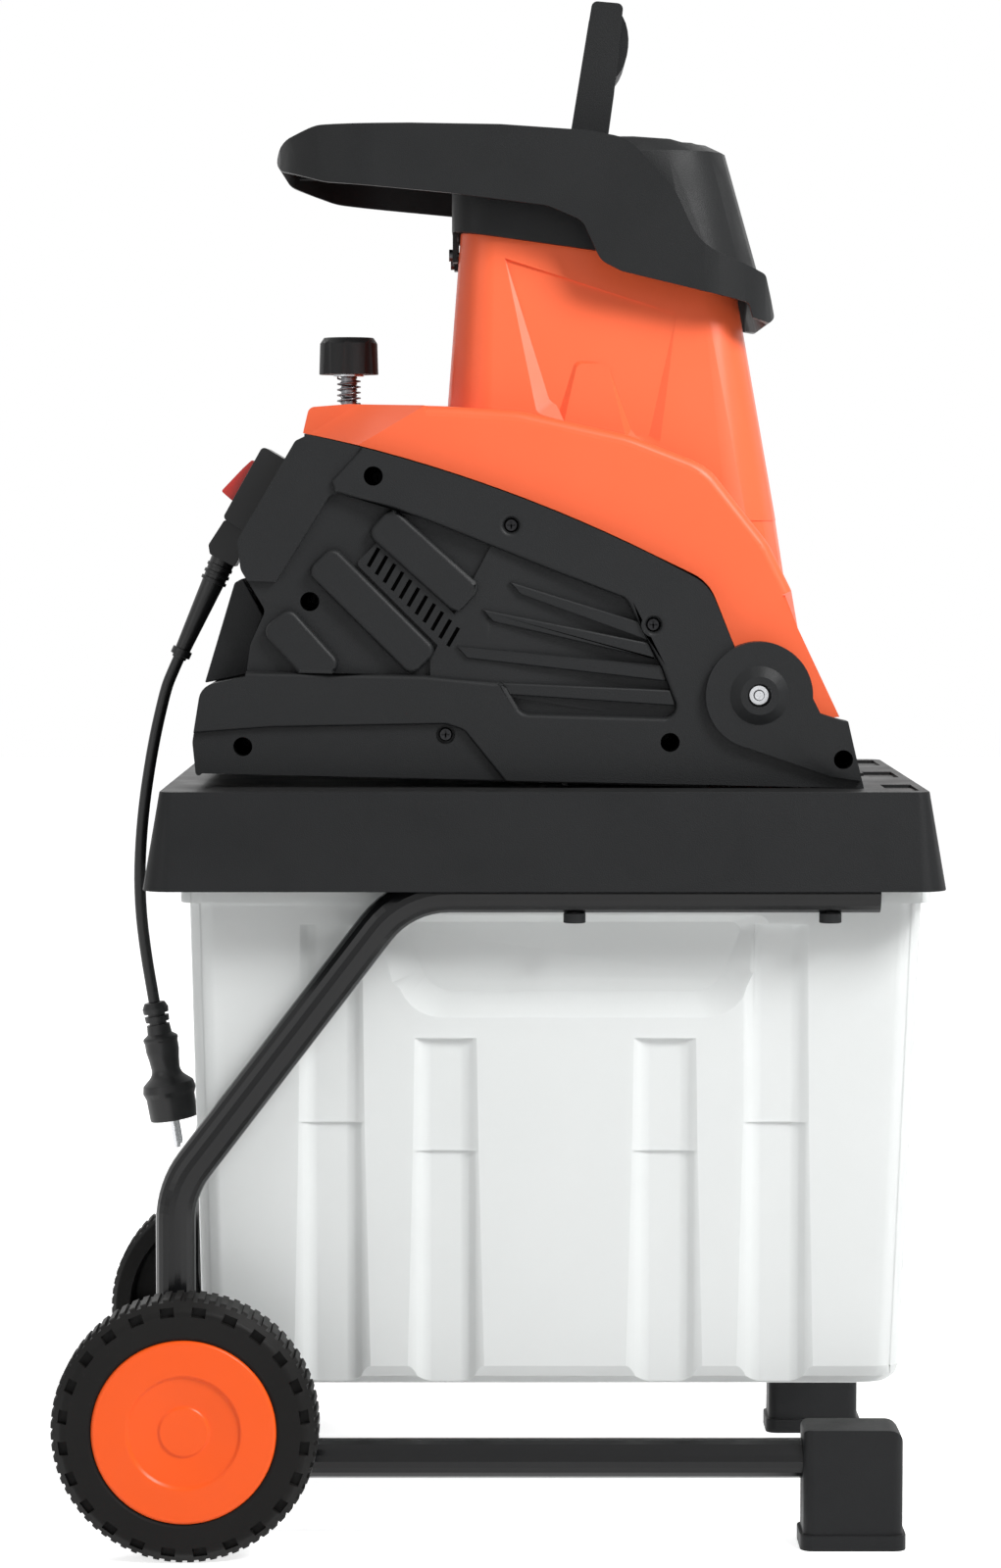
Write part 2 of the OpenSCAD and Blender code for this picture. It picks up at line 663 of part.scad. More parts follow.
module housing_half(left) {
  inner_y = left ? plate_in : -plate_in;
  color(black) on_side(left) difference() {
    union() {
      head() difference() {
        union() {
          side(-half_w, -plate_in) {
            polygon(plate_outline);
            translate(pivot) circle(r = ear_r);
          }
          side(-half_w - ear_proud, -plate_in) {
            polygon(ear_outline);
            translate(pivot) circle(r = ear_r);
          }
          pivot_boss();
        }
        side(-half_w - 1, -half_w + field_depth) polygon(field_outline);
        side(-half_w - 1, -half_w + base_panel_depth) polygon(base_panel);
        side(-half_w - 1, -half_w + switch_panel_depth) polygon(switch_panel);
      }
      head() side_relief();
      head() side(-plate_in - 1, 0) difference() {
        polygon(shell_outline);
        offset(delta = -housing_wall) polygon(shell_outline);
      }
      head() side(-plate_in - 1, 0) polygon([[229, 34], [238, 0], [234, 0], [225, 34]]);
      head() translate([chute_floor_x[0] - 3, -plate_in - 1, 1]) cube([3, plate_in + 1, 87]);
      head() translate([chute_floor_x[1], -plate_in - 1, 1]) cube([3, plate_in + 1, 92]);
      difference() {
        union() {
          drive_plate(-116, 16, -98, -94, 0);
          drive_plate(-116, 16, -126, -122, 0);
        }
        drive() translate([-gear_reach, 0, -200]) cylinder(h = 160, d = stator_d + 2 * seat_gap);
      }
      drive_plate(chamber_x - 3, chamber_x, -36, 70, 0);
      drive_plate(-80, 46, plate_low_z - slide_gap - 5, plate_low_z - slide_gap, plate_in - 14);
      head() for (s = long_screws) translate([s.x, 0, s.y]) rotate([90, 0, 0]) cylinder(h = plate_in + 1,
        r = boss_r);
      head() for (s = short_screws) translate([s.x, -plate_in + short_l, s.y]) rotate([90, 0, 0])
        cylinder(h = short_l + 1, r = boss_r);
      head() intersection() {
        translate([lock_x, 0, insert_low_z - 4]) cylinder(h = lock_boss_z - insert_low_z + 4,
          d = insert_d + 10);
        translate([lock_x - 40, -40, 0]) cube([80, 40, 300]);
      }
      head() translate([lock_x - 18, -plate_in - 1, interlock_z - 4]) cube([30, plate_in + 1, 3.8]);
    }
    head() translate([chip_x[0], -chip_half_y, -1]) cube([chip_x[1] - chip_x[0], 2 * chip_half_y, 14]);
    head() translate([chamber_cut_x, -chute_foot_w / 2 - 8, 100]) cube([122 - chamber_cut_x,
      chute_foot_w + 16, 140]);
    head() side(-half_w - 1, -plate_in + 1) vent_slots();
    head() translate([pivot_x, 0, pivot_z]) rotate([90, 0, 0]) {
      cylinder(h = half_w + 20, d = pivot_pin_d + seat_gap);
      translate([0, 0, half_w]) cylinder(h = 20, d = pivot_pin_d + 3.6);
    }
    head() translate([lock_x, 0, insert_low_z]) cylinder(h = 60, d = insert_d + seat_gap);
    head() translate([lock_x, 0, insert_low_z - 10]) cylinder(h = 60, d = stud_d + 1);
    head() for (s = long_screws) translate([s.x, 0, s.y]) rotate([90, 0, 0]) {
      if (left) translate([0, 0, -1]) cylinder(h = pilot_l + 1, d = screw_d + seat_gap);
      else {
        translate([0, 0, -1]) cylinder(h = half_w, d = screw_d + 0.4);
        translate([0, 0, well_floor_y]) cylinder(h = half_w, d = screw_well_d);
      }
    }
    head() for (s = short_screws) translate([s.x, -half_w - 1, s.y]) rotate([-90, 0, 0]) {
      cylinder(h = field_depth + 1, d = s[2]);
      cylinder(h = plate_t + short_l - 2, d = screw_d + seat_gap);
    }
  }
}

module lower_housing_right() housing_half(false);
module lower_housing_left() housing_half(true);

module housing_screw(l) {
  rotate([-90, 0, 0]) {
    translate([0, 0, -1]) cylinder(h = l + 1, d = screw_d);
    translate([0, 0, -3.2]) cylinder(h = 3.1, d = 2 * screw_d);
  }
}

module housing_screws() {
  color(dark_steel) head() {
    for (s = long_screws) translate([s.x, -well_floor_y, s.y]) housing_screw(well_floor_y + pilot_l - 4);
    both_sides() for (s = short_screws) translate([s.x, -half_w + field_depth, s.y])
      housing_screw(plate_t - field_depth + short_l - 4);
  }
}

// Cover on the slanted back, open towards the housing
cover_half_w = 112;

module rear_cover() {
  out = [[-196, 67.6], [-184, 69.8], [-168, 73.1], [-164.8, 93.6], [-157, 112], [-170.5, 137], [-176, 134]];
  inside = [[-191, 74], [-160, 76], [-150, 118], [-169, 129]];
  color(black) head() difference() {
    side(-cover_half_w, cover_half_w) polygon(out);
    side(-cover_half_w + housing_wall, cover_half_w - housing_wall) polygon(inside);
  }
}

// Pivot of the upper housing
module pivot_pin() {
  color(steel) head() translate([pivot_x, half_w, pivot_z]) rotate([90, 0, 0]) difference() {
    cylinder(h = housing_w, d = pivot_pin_d);
    for (z = [-1, housing_w - 14]) translate([0, 0, z]) cylinder(h = 15, d = pivot_pin_d / 3 + seat_gap);
  }
}

module on_pivot_ends() {
  head() both_sides() translate([pivot_x, -half_w, pivot_z]) rotate([90, 0, 0]) children();
}

module pivot_washers() {
  color(steel) on_pivot_ends() difference() {
    translate([0, 0, 0.05]) cylinder(h = 1.2, d = pivot_pin_d + 0.4);
    translate([0, 0, -1]) cylinder(h = 4, d = pivot_pin_d / 3 + 0.4);
  }
}

module pivot_screws() {
  color(steel) on_pivot_ends() {
    translate([0, 0, -12]) cylinder(h = 14, d = pivot_pin_d / 3);
    translate([0, 0, 1.35]) difference() {
      cylinder(h = 2.6, d1 = 7.4, d2 = 6);
      for (a = [0, 90]) rotate(a) translate([-2, -0.5, 1.4]) cube([4, 1, 2]);
    }
  }
}

// Drive: everything on the leaning spindle, with its origin at the middle of the knife disc
disc_place = [12, 146];
gear_reach = gear_module * (gear_teeth + pinion_teeth) / 2;
disc_half = disc_t / 2;
plate_low_z = -30;
floor_room = 9.4;
plate_high_z = -24;
gear_z = -46;
gear_w = 12.5;
bracket_z = -50;
stator_z = -80;
stator_low_z = stator_z - stator_l;
chamber_x = -91;
chamber_cut_x = -62;
big_bearing = [40, 12];
mid_bearing = [32, 10];
arm_bearing = [28, 8];
low_bearing = [26, 8];
shaft_d = 12;
shaft_low_d = 10;

module drive() head() translate([disc_place.x, 0, disc_place.y]) rotate([0, spindle_tilt, 0]) children();
module motor() drive() translate([-gear_reach, 0, 0]) children();

module ring(z0, z1, outer, inner) {
  translate([0, 0, z0]) difference() {
    cylinder(h = z1 - z0, d = outer);
    translate([0, 0, -1]) cylinder(h = z1 - z0 + 2, d = inner);
  }
}

module gear_plate() {
  seat = plate_low_z + 2;
  color(steel) drive() difference() {
    union() {
      translate([chamber_x + slide_gap, -plate_in + slide_gap, plate_low_z])
        cube([52 - chamber_x - slide_gap, 2 * plate_in - 2 * slide_gap, plate_high_z - plate_low_z]);
      translate([0, 0, plate_low_z]) cylinder(h = big_bearing[1] + 4, d = big_bearing[0] + 14);
    }
    translate([0, 0, seat]) cylinder(h = 40, d = big_bearing[0] + 0.1);
    translate([0, 0, plate_low_z - 1]) cylinder(h = 10, d = spindle_d + 8);
  }
}

module bearing_seat(b) {
  translate([0, 0, bracket_z - b[1]]) cylinder(h = b[1] + 1, d = b[0] + 0.1);
  translate([0, 0, bracket_z - b[1] - 4]) cylinder(h = 10, d = b[0] - 9);
}

module motor_bracket() {
  post_x = [-gear_reach - 28, 18];
  post_y = 38;
  color(steel) drive() difference() {
    union() {
      translate([post_x[0] - 8, -post_y - 8, bracket_z - 6]) cube([post_x[1] - post_x[0] + 16,
        2 * post_y + 16, 6]);
      translate([0, 0, bracket_z - mid_bearing[1] - 2]) cylinder(h = mid_bearing[1] + 2,
        d = mid_bearing[0] + 8);
      translate([-gear_reach, 0, bracket_z - arm_bearing[1] - 2])
        cylinder(h = arm_bearing[1] + 2, d = arm_bearing[0] + 8);
      for (x = post_x) for (y = [-post_y, post_y]) translate([x, y, bracket_z - 1])
        cylinder(h = plate_low_z - bracket_z + 1 - seat_gap, d = 10);
    }
    bearing_seat(mid_bearing);
    translate([-gear_reach, 0, 0]) bearing_seat(arm_bearing);
  }
}

holder_top_z = stator_low_z - 7;
brush_plate_z = holder_top_z - 10;
brush_plate_t = 5;

module brush_bracket() {
  low = brush_plate_z - brush_plate_t;
  color(black) difference() {
    motor() {
      translate([0, 0, low]) cylinder(h = brush_plate_t, d = 2 * shaft_low_d + 54);
      translate([0, 0, low - 4]) cylinder(h = 6, d = low_bearing[0] + 8);
      for (a = [90, 270]) rotate(a) {
        translate([0, -7, low]) cube([stator_d / 2 - 0.5, 14, brush_plate_t]);
        translate([stator_d / 2 - 3.3, -7, low]) cube([2.8, 14, stator_low_z - low - seat_gap]);
      }
    }
    motor() translate([0, 0, low - 2]) cylinder(h = 20, d = low_bearing[0] + 0.1);
    motor() translate([0, 0, low - 10]) cylinder(h = 20, d = low_bearing[0] - 9);
    head() translate([-200, -100, -20]) cube([400, 200, 20 + floor_room]);
  }
}

module stator() {
  color(dark_steel) motor() ring(stator_low_z, stator_z, stator_d, rotor_d + 1.6);
}

rotor_d = 53;

module windings() {
  color(copper) motor() {
    ring(stator_z, stator_z + 6, stator_d - 8, rotor_d + 6);
    ring(stator_low_z - 5.5, stator_low_z, stator_d - 8, rotor_d + 6);
  }
}

commutator_d = 34;

module brush_holders() {
  color(brass) motor() for (a = [0, 180]) rotate(a) difference() {
    translate([commutator_d / 2 + 4, -7, brush_plate_z + 0.1]) cube([18, 14,
      holder_top_z - brush_plate_z - 0.6]);
    translate([0, -4.2, brush_plate_z + 2.3]) cube([60, 8.4, 5.6]);
  }
}

module carbon_brushes() {
  color("#3a3a3c") motor() for (a = [0, 180]) rotate(a)
    translate([commutator_d / 2 + 0.15, -4, brush_plate_z + 2.5]) cube([16, 8, 5.2]);
}

module bearing(b, z, bore) ring(z, z + b[1], b[0], bore + 2 * run_gap);

module spindle_bearings() {
  color(steel) drive() {
    bearing(big_bearing, plate_low_z + 2, spindle_d);
    bearing(mid_bearing, bracket_z - mid_bearing[1], shaft_d);
  }
}

module armature_bearings() {
  color(steel) motor() {
    bearing(arm_bearing, bracket_z - arm_bearing[1], shaft_d);
    bearing(low_bearing, brush_plate_z - brush_plate_t - 2, shaft_low_d);
  }
}

module armature() {
  low = brush_plate_z - brush_plate_t - 3;
  color(dark_steel) motor() difference() {
    union() {
      translate([0, 0, brush_plate_z + 1]) cylinder(h = gear_z + gear_w - brush_plate_z, d = shaft_d);
      translate([0, 0, low]) cylinder(h = brush_plate_z + 2 - low, d = shaft_low_d);
      translate([0, 0, stator_low_z]) cylinder(h = stator_l, d = rotor_d);
    }
    for (i = [0:11]) rotate(i * 30) translate([rotor_d / 2 - 9, -1.5, stator_low_z - 1]) cube([20, 3,
      stator_l + 2]);
  }
}

module commutator() color(copper) motor() ring(brush_plate_z + 1, holder_top_z, commutator_d, shaft_d + 0.1);

module cooling_fan() {
  fan_z = stator_z + 8;
  color(black) motor() difference() {
    union() {
      translate([0, 0, fan_z]) cylinder(h = 2, d = stator_d - 14);
      translate([0, 0, fan_z]) cylinder(h = 7, d = shaft_d + 10);
      for (i = [0:9]) rotate(i * 36) translate([shaft_d, -1, fan_z + 1]) cube([stator_d / 2 - 8 - shaft_d,
        2, 6]);
    }
    translate([0, 0, fan_z - 1]) cylinder(h = 10, d = shaft_d + 0.1);
  }
}

// Involute gear outline
pressure_angle = 25;
gear_backlash = 0.35;
function involute(a) = tan(a) * 180 / PI - a;
function flank(teeth, r) =
  let (rb = gear_module * teeth / 2 * cos(pressure_angle), a = r <= rb ? 0 : acos(rb / r))
  90 / teeth - gear_backlash / (gear_module * teeth) * 180 / PI / 2 * 2 + involute(pressure_angle) - involute(a);
function tooth_radii(teeth) =
  let (rp = gear_module * teeth / 2, root = rp - 1.25 * gear_module, tip = rp + 0.95 * gear_module)
  [for (i = [0:5]) root + (tip - root) * i / 5];
function gear_outline(teeth, turn) =
  [for (i = [0:teeth - 1]) let (c = i * 360 / teeth + turn, rr = tooth_radii(teeth))
    each concat([for (r = rr) polar(r, c - flank(teeth, r))], [for (j = [5:-1:0]) polar(rr[j],
      c + flank(teeth, rr[j]))])];

module gear_blank(teeth, turn, bore) {
  translate([0, 0, gear_z]) linear_extrude(gear_w) difference() {
    polygon(gear_outline(teeth, turn));
    circle(d = bore + 0.1);
  }
}

module pinion() color(steel) motor() gear_blank(pinion_teeth, 180 / pinion_teeth, shaft_d);
module drive_gear() color(dark_steel) drive() gear_blank(gear_teeth,
  gear_teeth % 2 == 0 ? 0 : 180 / gear_teeth, spindle_d);

collar_d = 40;
disc_bore_d = 16;
disc_bolt_d = 10;

module spindle() {
  low = bracket_z - mid_bearing[1] - 1;
  color(steel) drive() difference() {
    union() {
      translate([0, 0, low]) cylinder(h = gear_z - low, d = shaft_d);
      translate([0, 0, gear_z - 1]) cylinder(h = -gear_z - disc_half, d = spindle_d);
      translate([0, 0, -disc_half - 8]) cylinder(h = 8, d = collar_d);
      translate([0, 0, -disc_half - 1]) cylinder(h = disc_t, d = disc_bore_d);
    }
    translate([0, 0, -20]) cylinder(h = 40, d = disc_bolt_d + seat_gap);
  }
}

module disc_bolt() {
  color(steel) drive() {
    translate([0, 0, -18]) cylinder(h = 19 + disc_half, d = disc_bolt_d);
    translate([0, 0, disc_half + 0.1]) cylinder(h = 3, d = 30);
    translate([0, 0, disc_half + 3]) cylinder(h = 7, d = 20, $fn = 6);
  }
}

knife_in = 24;
knife_l = disc_d / 2 - knife_in - 6;
knife_w = 26;
knife_t = 5;
knife_hole_x = [knife_in + 12, knife_in + knife_l - 12];
knife_screw_d = 6;

module both_knives() {
  for (a = [0, 180]) rotate(a) children();
}

module knife_disc() {
  color(dark_steel) drive() difference() {
    ring(-disc_half, disc_half, disc_d, disc_bore_d + 0.1);
    both_knives() {
      translate([knife_in, knife_w / 2 + 1, -disc_t]) cube([knife_l, 10, 2 * disc_t]);
      for (x = knife_hole_x) translate([x, 0, -disc_t]) cylinder(h = 2 * disc_t,
        d = knife_screw_d + seat_gap);
    }
  }
}

module knives() {
  color(steel) drive() both_knives() difference() {
    translate([knife_in, 0, disc_half]) rotate([90, 0, 90]) linear_extrude(knife_l)
      polygon([[-knife_w / 2, 0], [knife_w / 2 + 3, 0], [knife_w / 2 - 2, knife_t], [-knife_w / 2, knife_t]]);
    for (x = knife_hole_x) translate([x, 0, 0]) cylinder(h = 30, d = knife_screw_d + seat_gap);
  }
}

module knife_screws() {
  color(dark_steel) drive() both_knives() for (x = knife_hole_x) translate([x, 0, 0]) {
    translate([0, 0, -disc_half]) cylinder(h = disc_t + knife_t + 1, d = knife_screw_d);
    translate([0, 0, disc_half + knife_t + 0.05]) cylinder(h = 2.5, d = 11);
  }
}

// Upper housing: chute, fender over the knife disc, lugs for the pivot and boss for the lock
upper_half_w = plate_in - 3;
lug_top_z = 252;
chute_front_x = -27.5;
chute_foot_z = 175;
chute_foot_x = [-41, 184];
chute_nose = [190, 135];
chute_end_x = chute_front_x + chute_top_l;
chute_slope = 8;
panel_depth = 2;
lug_r = 26;
feed_ramp = [[184, 236], [184, 231], [72, 168], [72, 173]];
fender_corners = [[-127, lug_top_z - 2, 5], [-100, lug_top_z], [-36, lug_top_z - 2, 60], [12, 247, 80],
  [84, 231, 80],
  [136, 211, 40], [176, 160, 40], [191, 130, 40], [223, 46]];
function fender_outline(gap) = rounded(concat([[-131, seam_z(-131, gap)]], fender_corners,
  [[196, 44], [pivot_x, pivot_z], [157, 86]], [for (i = [len(seam_edge(gap)) - 1:-1:1]) seam_edge(gap)[i]]));
fender_inside = rounded([[-127 + upper_wall, 0], [-127 + upper_wall, lug_top_z - upper_wall - 2, 3],
  [-100, lug_top_z - upper_wall], [-36, lug_top_z - 2 - upper_wall, 60], [11, 247 - upper_wall, 80],
  [82, 231 - upper_wall, 80], [133, 210 - upper_wall, 36], [171, 158, 36], [186, 129, 36], [218, 46], [216,
    0]]);
fender_plan = rounded([[-140, -98], [-104, -104, 20], [-48, -upper_half_w, 20], [240, -upper_half_w],
  [240, upper_half_w], [-48, upper_half_w, 20], [-104, 104, 20], [-140, 98]]);
fender_plan_inside = rounded([[-140, -98 + upper_wall], [-104, -104 + upper_wall, 18], [-46,
  -upper_half_w + upper_wall, 18],
  [240, -upper_half_w + upper_wall], [240, upper_half_w - upper_wall], [-46, upper_half_w - upper_wall, 18],
  [-104, 104 - upper_wall, 18], [-140, 98 - upper_wall]]);
chute_panel = rounded([[3, 349], [24, 246, 6], [105, 222, 6], [117, 312]]);
chute_badge_bed = rounded([[40, 231, 2], [51, 279, 5], [71, 279, 5], [84, 226, 2]]);

module chute_form(inset) {
  hull() {
    translate([0, 0, chute_foot_z - inset]) linear_extrude(eps)
      polygon(rect(chute_foot_x[0] + inset, chute_foot_x[1] - inset, chute_foot_w / 2 - inset, 34));
    translate([chute_front_x + chute_top_l / 2, 0, chute_h + (inset > 0 ? 1 : 0)]) rotate([0, chute_slope, 0])
      linear_extrude(eps) polygon(rect(-chute_top_l / 2 + inset, chute_top_l / 2 - inset,
        chute_top_w / 2 - inset, 24));
  }
}

// Front of the chute below its foot, which runs out into the front of the fender
module chute_nose_form(inset) {
  y = chute_foot_w / 2 - 0.7 - inset;
  rise = inset > 0 ? 5 : 3;
  loft(chute_nose.y - inset, rect(chute_nose.x - 90, chute_nose.x - inset, y, 34 - inset),
    chute_foot_z + rise, rect(chute_nose.x - 90, chute_foot_x[1] - 0.7 - inset, y, 34 - inset));
}

module chute_panel_cut() {
  difference() {
    intersection() {
      chute_form(0);
      side(-half_w, half_w) difference() {
        polygon(chute_panel);
        polygon(chute_badge_bed);
      }
    }
    chute_form(panel_depth);
  }
}

module upper_housing() {
  color(orange) difference() {
    head() difference() {
      union() {
        intersection() {
          side(-half_w, half_w) {
            polygon(fender_outline(seam_gap));
            translate(pivot) circle(r = lug_r);
          }
          linear_extrude(400) polygon(fender_plan);
        }
        chute_form(0);
        chute_nose_form(0);
      }
      difference() {
        intersection() {
          side(-half_w, half_w) polygon(fender_inside);
          linear_extrude(400) polygon(fender_plan_inside);
        }
        chute_form(0);
        for (y = [-upper_half_w, upper_half_w - 12]) side(y, y + 12) translate(pivot) circle(r = lug_r);
        translate([lock_x, 0, 0]) cylinder(h = 300, d = stud_d + 14);
      }
      difference() {
        chute_form(upper_wall);
        side(-half_w, half_w) polygon(feed_ramp);
      }
      chute_nose_form(upper_wall);
      chute_panel_cut();
      translate([lock_x, 0, 100]) cylinder(h = 300, d = stud_d + 0.8);
      translate([pivot_x, half_w, pivot_z]) rotate([90, 0, 0]) cylinder(h = housing_w,
        d = pivot_pin_d + 2 * run_gap);
      for (s = hopper_screw_places) translate(s[0]) rotate(s[1]) cylinder(h = 30, d = 4 + seat_gap,
        center = true);
    }
    drive() translate([0, 0, -120]) cylinder(h = 138, d = disc_d + 14);
    drive() translate([20, -disc_d / 2 - 7, -120]) cube([disc_d, disc_d + 14, 138]);
  }
}

// Hopper: skirted deck that is also the carrying handle, feed basin, throat and collar
hopper_back_x = -152;
hopper_front_x = chute_end_x + 27.5;
deck_line = [[hopper_back_x + 1, 409, 8], [-147, 426, 14], [-122, 435.5, 30], [-60, 436, 60], [0, 435, 60],
  [58, 431, 60], [84, 426, 30], [chute_end_x - 42.5, 394, 60], [chute_end_x - 25.5, 357, 36],
  [hopper_front_x - 8, 338, 5]];
skirt_low = [[hopper_front_x - 1, 310, 4], [hopper_front_x - 5, 306, 3], [hopper_front_x - 17, 309],
  [hopper_front_x - 20, 319, 4], [chute_end_x - 39.5, 330], [80, 339, 14], [66, 346, 14], [54, 372, 12],
  [31, 382, 30], [-32, 390], [-116, 398, 50]];
// Levels of the dome over the front of the throat: height, back, front, half width and corner radius
dome_levels = [[432, 40, chute_end_x - 49, 80, 32], [428, 30, chute_end_x - 23, 87, 36],
  [420, 20, chute_end_x - 6, 92, 40], [336, 0, hopper_front_x + 1, 108, 48]];
collar_wall = 3.5;
ledge_z = 400;
throat_mid_x = chute_front_x + chute_top_l / 2 - 2.5;
basin_half_w = throat_w / 2 + 10;

function below(line, z) = concat([[line[0].x, z]], line, [[line[len(line) - 1].x, z]]);
function hopper_plan(inset) = let (x0 = hopper_back_x + inset, x1 = hopper_front_x - inset,
  y = hopper_w / 2 - inset)
  rounded([[x0, -y, 70], [x1, -y, 50], [x1, y, 50], [x0, y, 70]], 8);
function basin_outline(grow) = rect(throat_mid_x - throat_l / 2 - 6 - grow,
  throat_mid_x + throat_l / 2 + 2 + grow,
  basin_half_w + grow, 30);

module deck_form(inset) {
  intersection() {
    side(-half_w, half_w) offset(delta = -inset) polygon(rounded(below(deck_line, 200)));
    linear_extrude(500) polygon(hopper_plan(inset));
  }
}

module dome_form(inset) {
  low = len(dome_levels) - 1;
  hull() for (i = [0:low]) let (l = dome_levels[i])
    translate([0, 0, l[0] - (i == low ? 40 : inset)]) linear_extrude(eps)
      polygon(rect(l[1] + inset, l[2] - inset, l[3] - inset, l[4] - inset));
}

module hopper_shell() {
  difference() {
    intersection() {
      side(-half_w, half_w) polygon(rounded(concat(deck_line, skirt_low)));
      linear_extrude(500) polygon(hopper_plan(0));
    }
    deck_form(hopper_wall);
    dome_form(hopper_wall);
  }
  difference() {
    intersection() {
      dome_form(0);
      side(-half_w, half_w) polygon([[0, 500], [hopper_front_x + 16, 500], [hopper_front_x + 16, 322], [0,
        352]]);
    }
    dome_form(hopper_wall);
    deck_form(hopper_wall);
  }
}

// Wedge under the sloping top of the chute, which the collar stands on
module above_chute(gap) {
  translate([chute_front_x + chute_top_l / 2, 0, chute_h + gap]) rotate([0, chute_slope, 0])
    translate([-200, -200, 0]) cube([400, 400, 200]);
}

module collar_form(inset) {
  x0 = chute_front_x - 5 + inset;
  x1 = chute_front_x + chute_top_l - 4 - inset;
  translate([0, 0, 320]) linear_extrude(ledge_z - 320) polygon(rect(x0, x1, chute_top_w / 2 + 5 - inset, 26));
}

module hopper() {
  t = hopper_wall;
  color(black) head() difference() {
    union() {
      hopper_shell();
      intersection() {
        translate([0, 0, ledge_z - t]) linear_extrude(80) polygon(basin_outline(t));
        union() {
          deck_form(0);
          dome_form(0);
        }
      }
      difference() {
        intersection() {
          collar_form(0);
          above_chute(seat_gap);
        }
        translate([0, 0, -1]) collar_form(collar_wall);
      }
      for (s = hopper_screw_places) translate(s[0]) rotate(s[1]) translate([-5, -8, s[2]]) cube([30, 16,
        3.2]);
      for (y = [-60, -20, 20, 60]) intersection() {
        translate([-140, y - 1.2, 412]) cube([100, 2.4, 30]);
        deck_form(1);
      }
    }
    translate([0, 0, ledge_z]) linear_extrude(100) polygon(basin_outline(0));
    translate([0, 0, ledge_z - 20]) linear_extrude(60)
      polygon(rect(throat_mid_x - throat_l / 2, throat_mid_x + throat_l / 2, throat_w / 2, 20));
    for (s = hopper_screw_places) translate(s[0]) rotate(s[1]) cylinder(h = 60, d = 4 + seat_gap,
      center = true);
  }
}

// Screws through the collar tabs: place, turn and height of the tab above the place
hopper_screw_places = [for (y = [-50, 50]) [[chute_front_x - 0.8, y, 353], [0, -90, 0], 0.6]];

module hopper_screws() {
  color(dark_steel) head() for (s = hopper_screw_places) translate(s[0]) rotate(s[1]) {
    translate([0, 0, -4]) cylinder(h = 8, d = 4);
    translate([0, 0, 3.9]) cylinder(h = 2.4, d = 8);
  }
}

// Pusher: D handle on a cross bar that rests on the throat ledge, and a paddle in the chute
pusher_lean = 5;
bar_half_w = basin_half_w - 3;
bar_half_l = 13;
handle_half_w = 50;
grip_mid_z = pusher_h - 27;

module in_pusher() {
  head() translate([throat_mid_x, 0, ledge_z + bar_half_l * sin(pusher_lean) + slide_gap]) rotate([0,
    pusher_lean, 0])
    children();
}

function oval(a, b, n = 28) = [for (i = [0:n - 1]) [a * cos(360 * i / n), b * sin(360 * i / n)]];

module pusher() {
  color(black) in_pusher() difference() {
    union() {
      translate([-bar_half_l, -bar_half_w, 0]) cube([2 * bar_half_l, 2 * bar_half_w, 12]);
      translate([-bar_half_l, -paddle_w / 2, -paddle_l]) cube([2 * bar_half_l, paddle_w, paddle_l + 1]);
      both_sides() side(-handle_half_w, -handle_half_w + 14)
        polygon(rounded([[-21, 1], [-17, 40, 60], [-11, pusher_h, 4], [10, pusher_h, 4],
          [9, 60, 60], [6, 1]]));
      side(-handle_half_w + 13, handle_half_w - 13) translate([2, grip_mid_z]) polygon(oval(14, 25));
    }
    for (s = [-1, 1]) translate([s * (bar_half_l + 5), -paddle_w / 2 + 8, -paddle_l - 1]) rotate([90, 0, 90])
      translate([0, 0, -10]) linear_extrude(20) polygon(rounded([[0, 0], [paddle_w - 16, 0],
        [paddle_w - 16, paddle_l - 20, 10],
        [0, paddle_l - 20, 10]]));
    side(-handle_half_w + 14 + slide_gap, handle_half_w - 14 - slide_gap) translate([2, grip_mid_z])
      intersection() {
        difference() {
          polygon(oval(30, 40));
          polygon(oval(11.5, 22.5));
        }
        translate([1, -40]) square([40, 60]);
      }
  }
}

module pusher_grip() {
  color("#3b3d40") in_pusher() side(-handle_half_w + 14.5, handle_half_w - 14.5) translate([2, grip_mid_z])
    intersection() {
      difference() {
        polygon(oval(14, 25));
        polygon(oval(11.6, 22.6));
        for (a = [-70:14:40]) rotate(a) translate([14.6 + 9 * abs(sin(a)), 0]) circle(d = 2.4);
      }
      translate([1.2, -40]) square([40, 59.6]);
    }
}

// Lock: captive knob and stud that screw the upper housing shut
lock_x = -104;
seat_t = 1.5;
washer_t = 1.2;
insert_d = 20;
lock_boss_z = seam_z(lock_x + insert_d / 2 + 5, 0) - 1;
insert_low_z = 212;
knob_low_z = lug_top_z + seat_t + spring_l + washer_t;
stud_tip_z = lug_top_z - 19.5;
plunger_press = 2.5;
plunger_top_z = stud_tip_z - lock_travel + plunger_press - slide_gap;
interlock_z = insert_low_z - 22;

module at_lock(z) head() translate([lock_x, 0, z]) children();

module lock_knob() {
  flutes = 8;
  color(black) at_lock(knob_low_z + 0.1) difference() {
    union() {
      cylinder(h = knob_h - 4, d1 = knob_d, d2 = knob_d - 1.5);
      translate([0, 0, knob_h - 4]) cylinder(h = 4, d1 = knob_d - 1.5, d2 = knob_d - 7);
    }
    for (i = [0:flutes - 1]) rotate(i * 360 / flutes) translate([knob_d / 2 + 5.5, 0, -1])
      cylinder(h = knob_h + 2, d = 14);
    translate([0, 0, -1]) cylinder(h = knob_h - 5, d = stud_d + 0.1);
  }
}

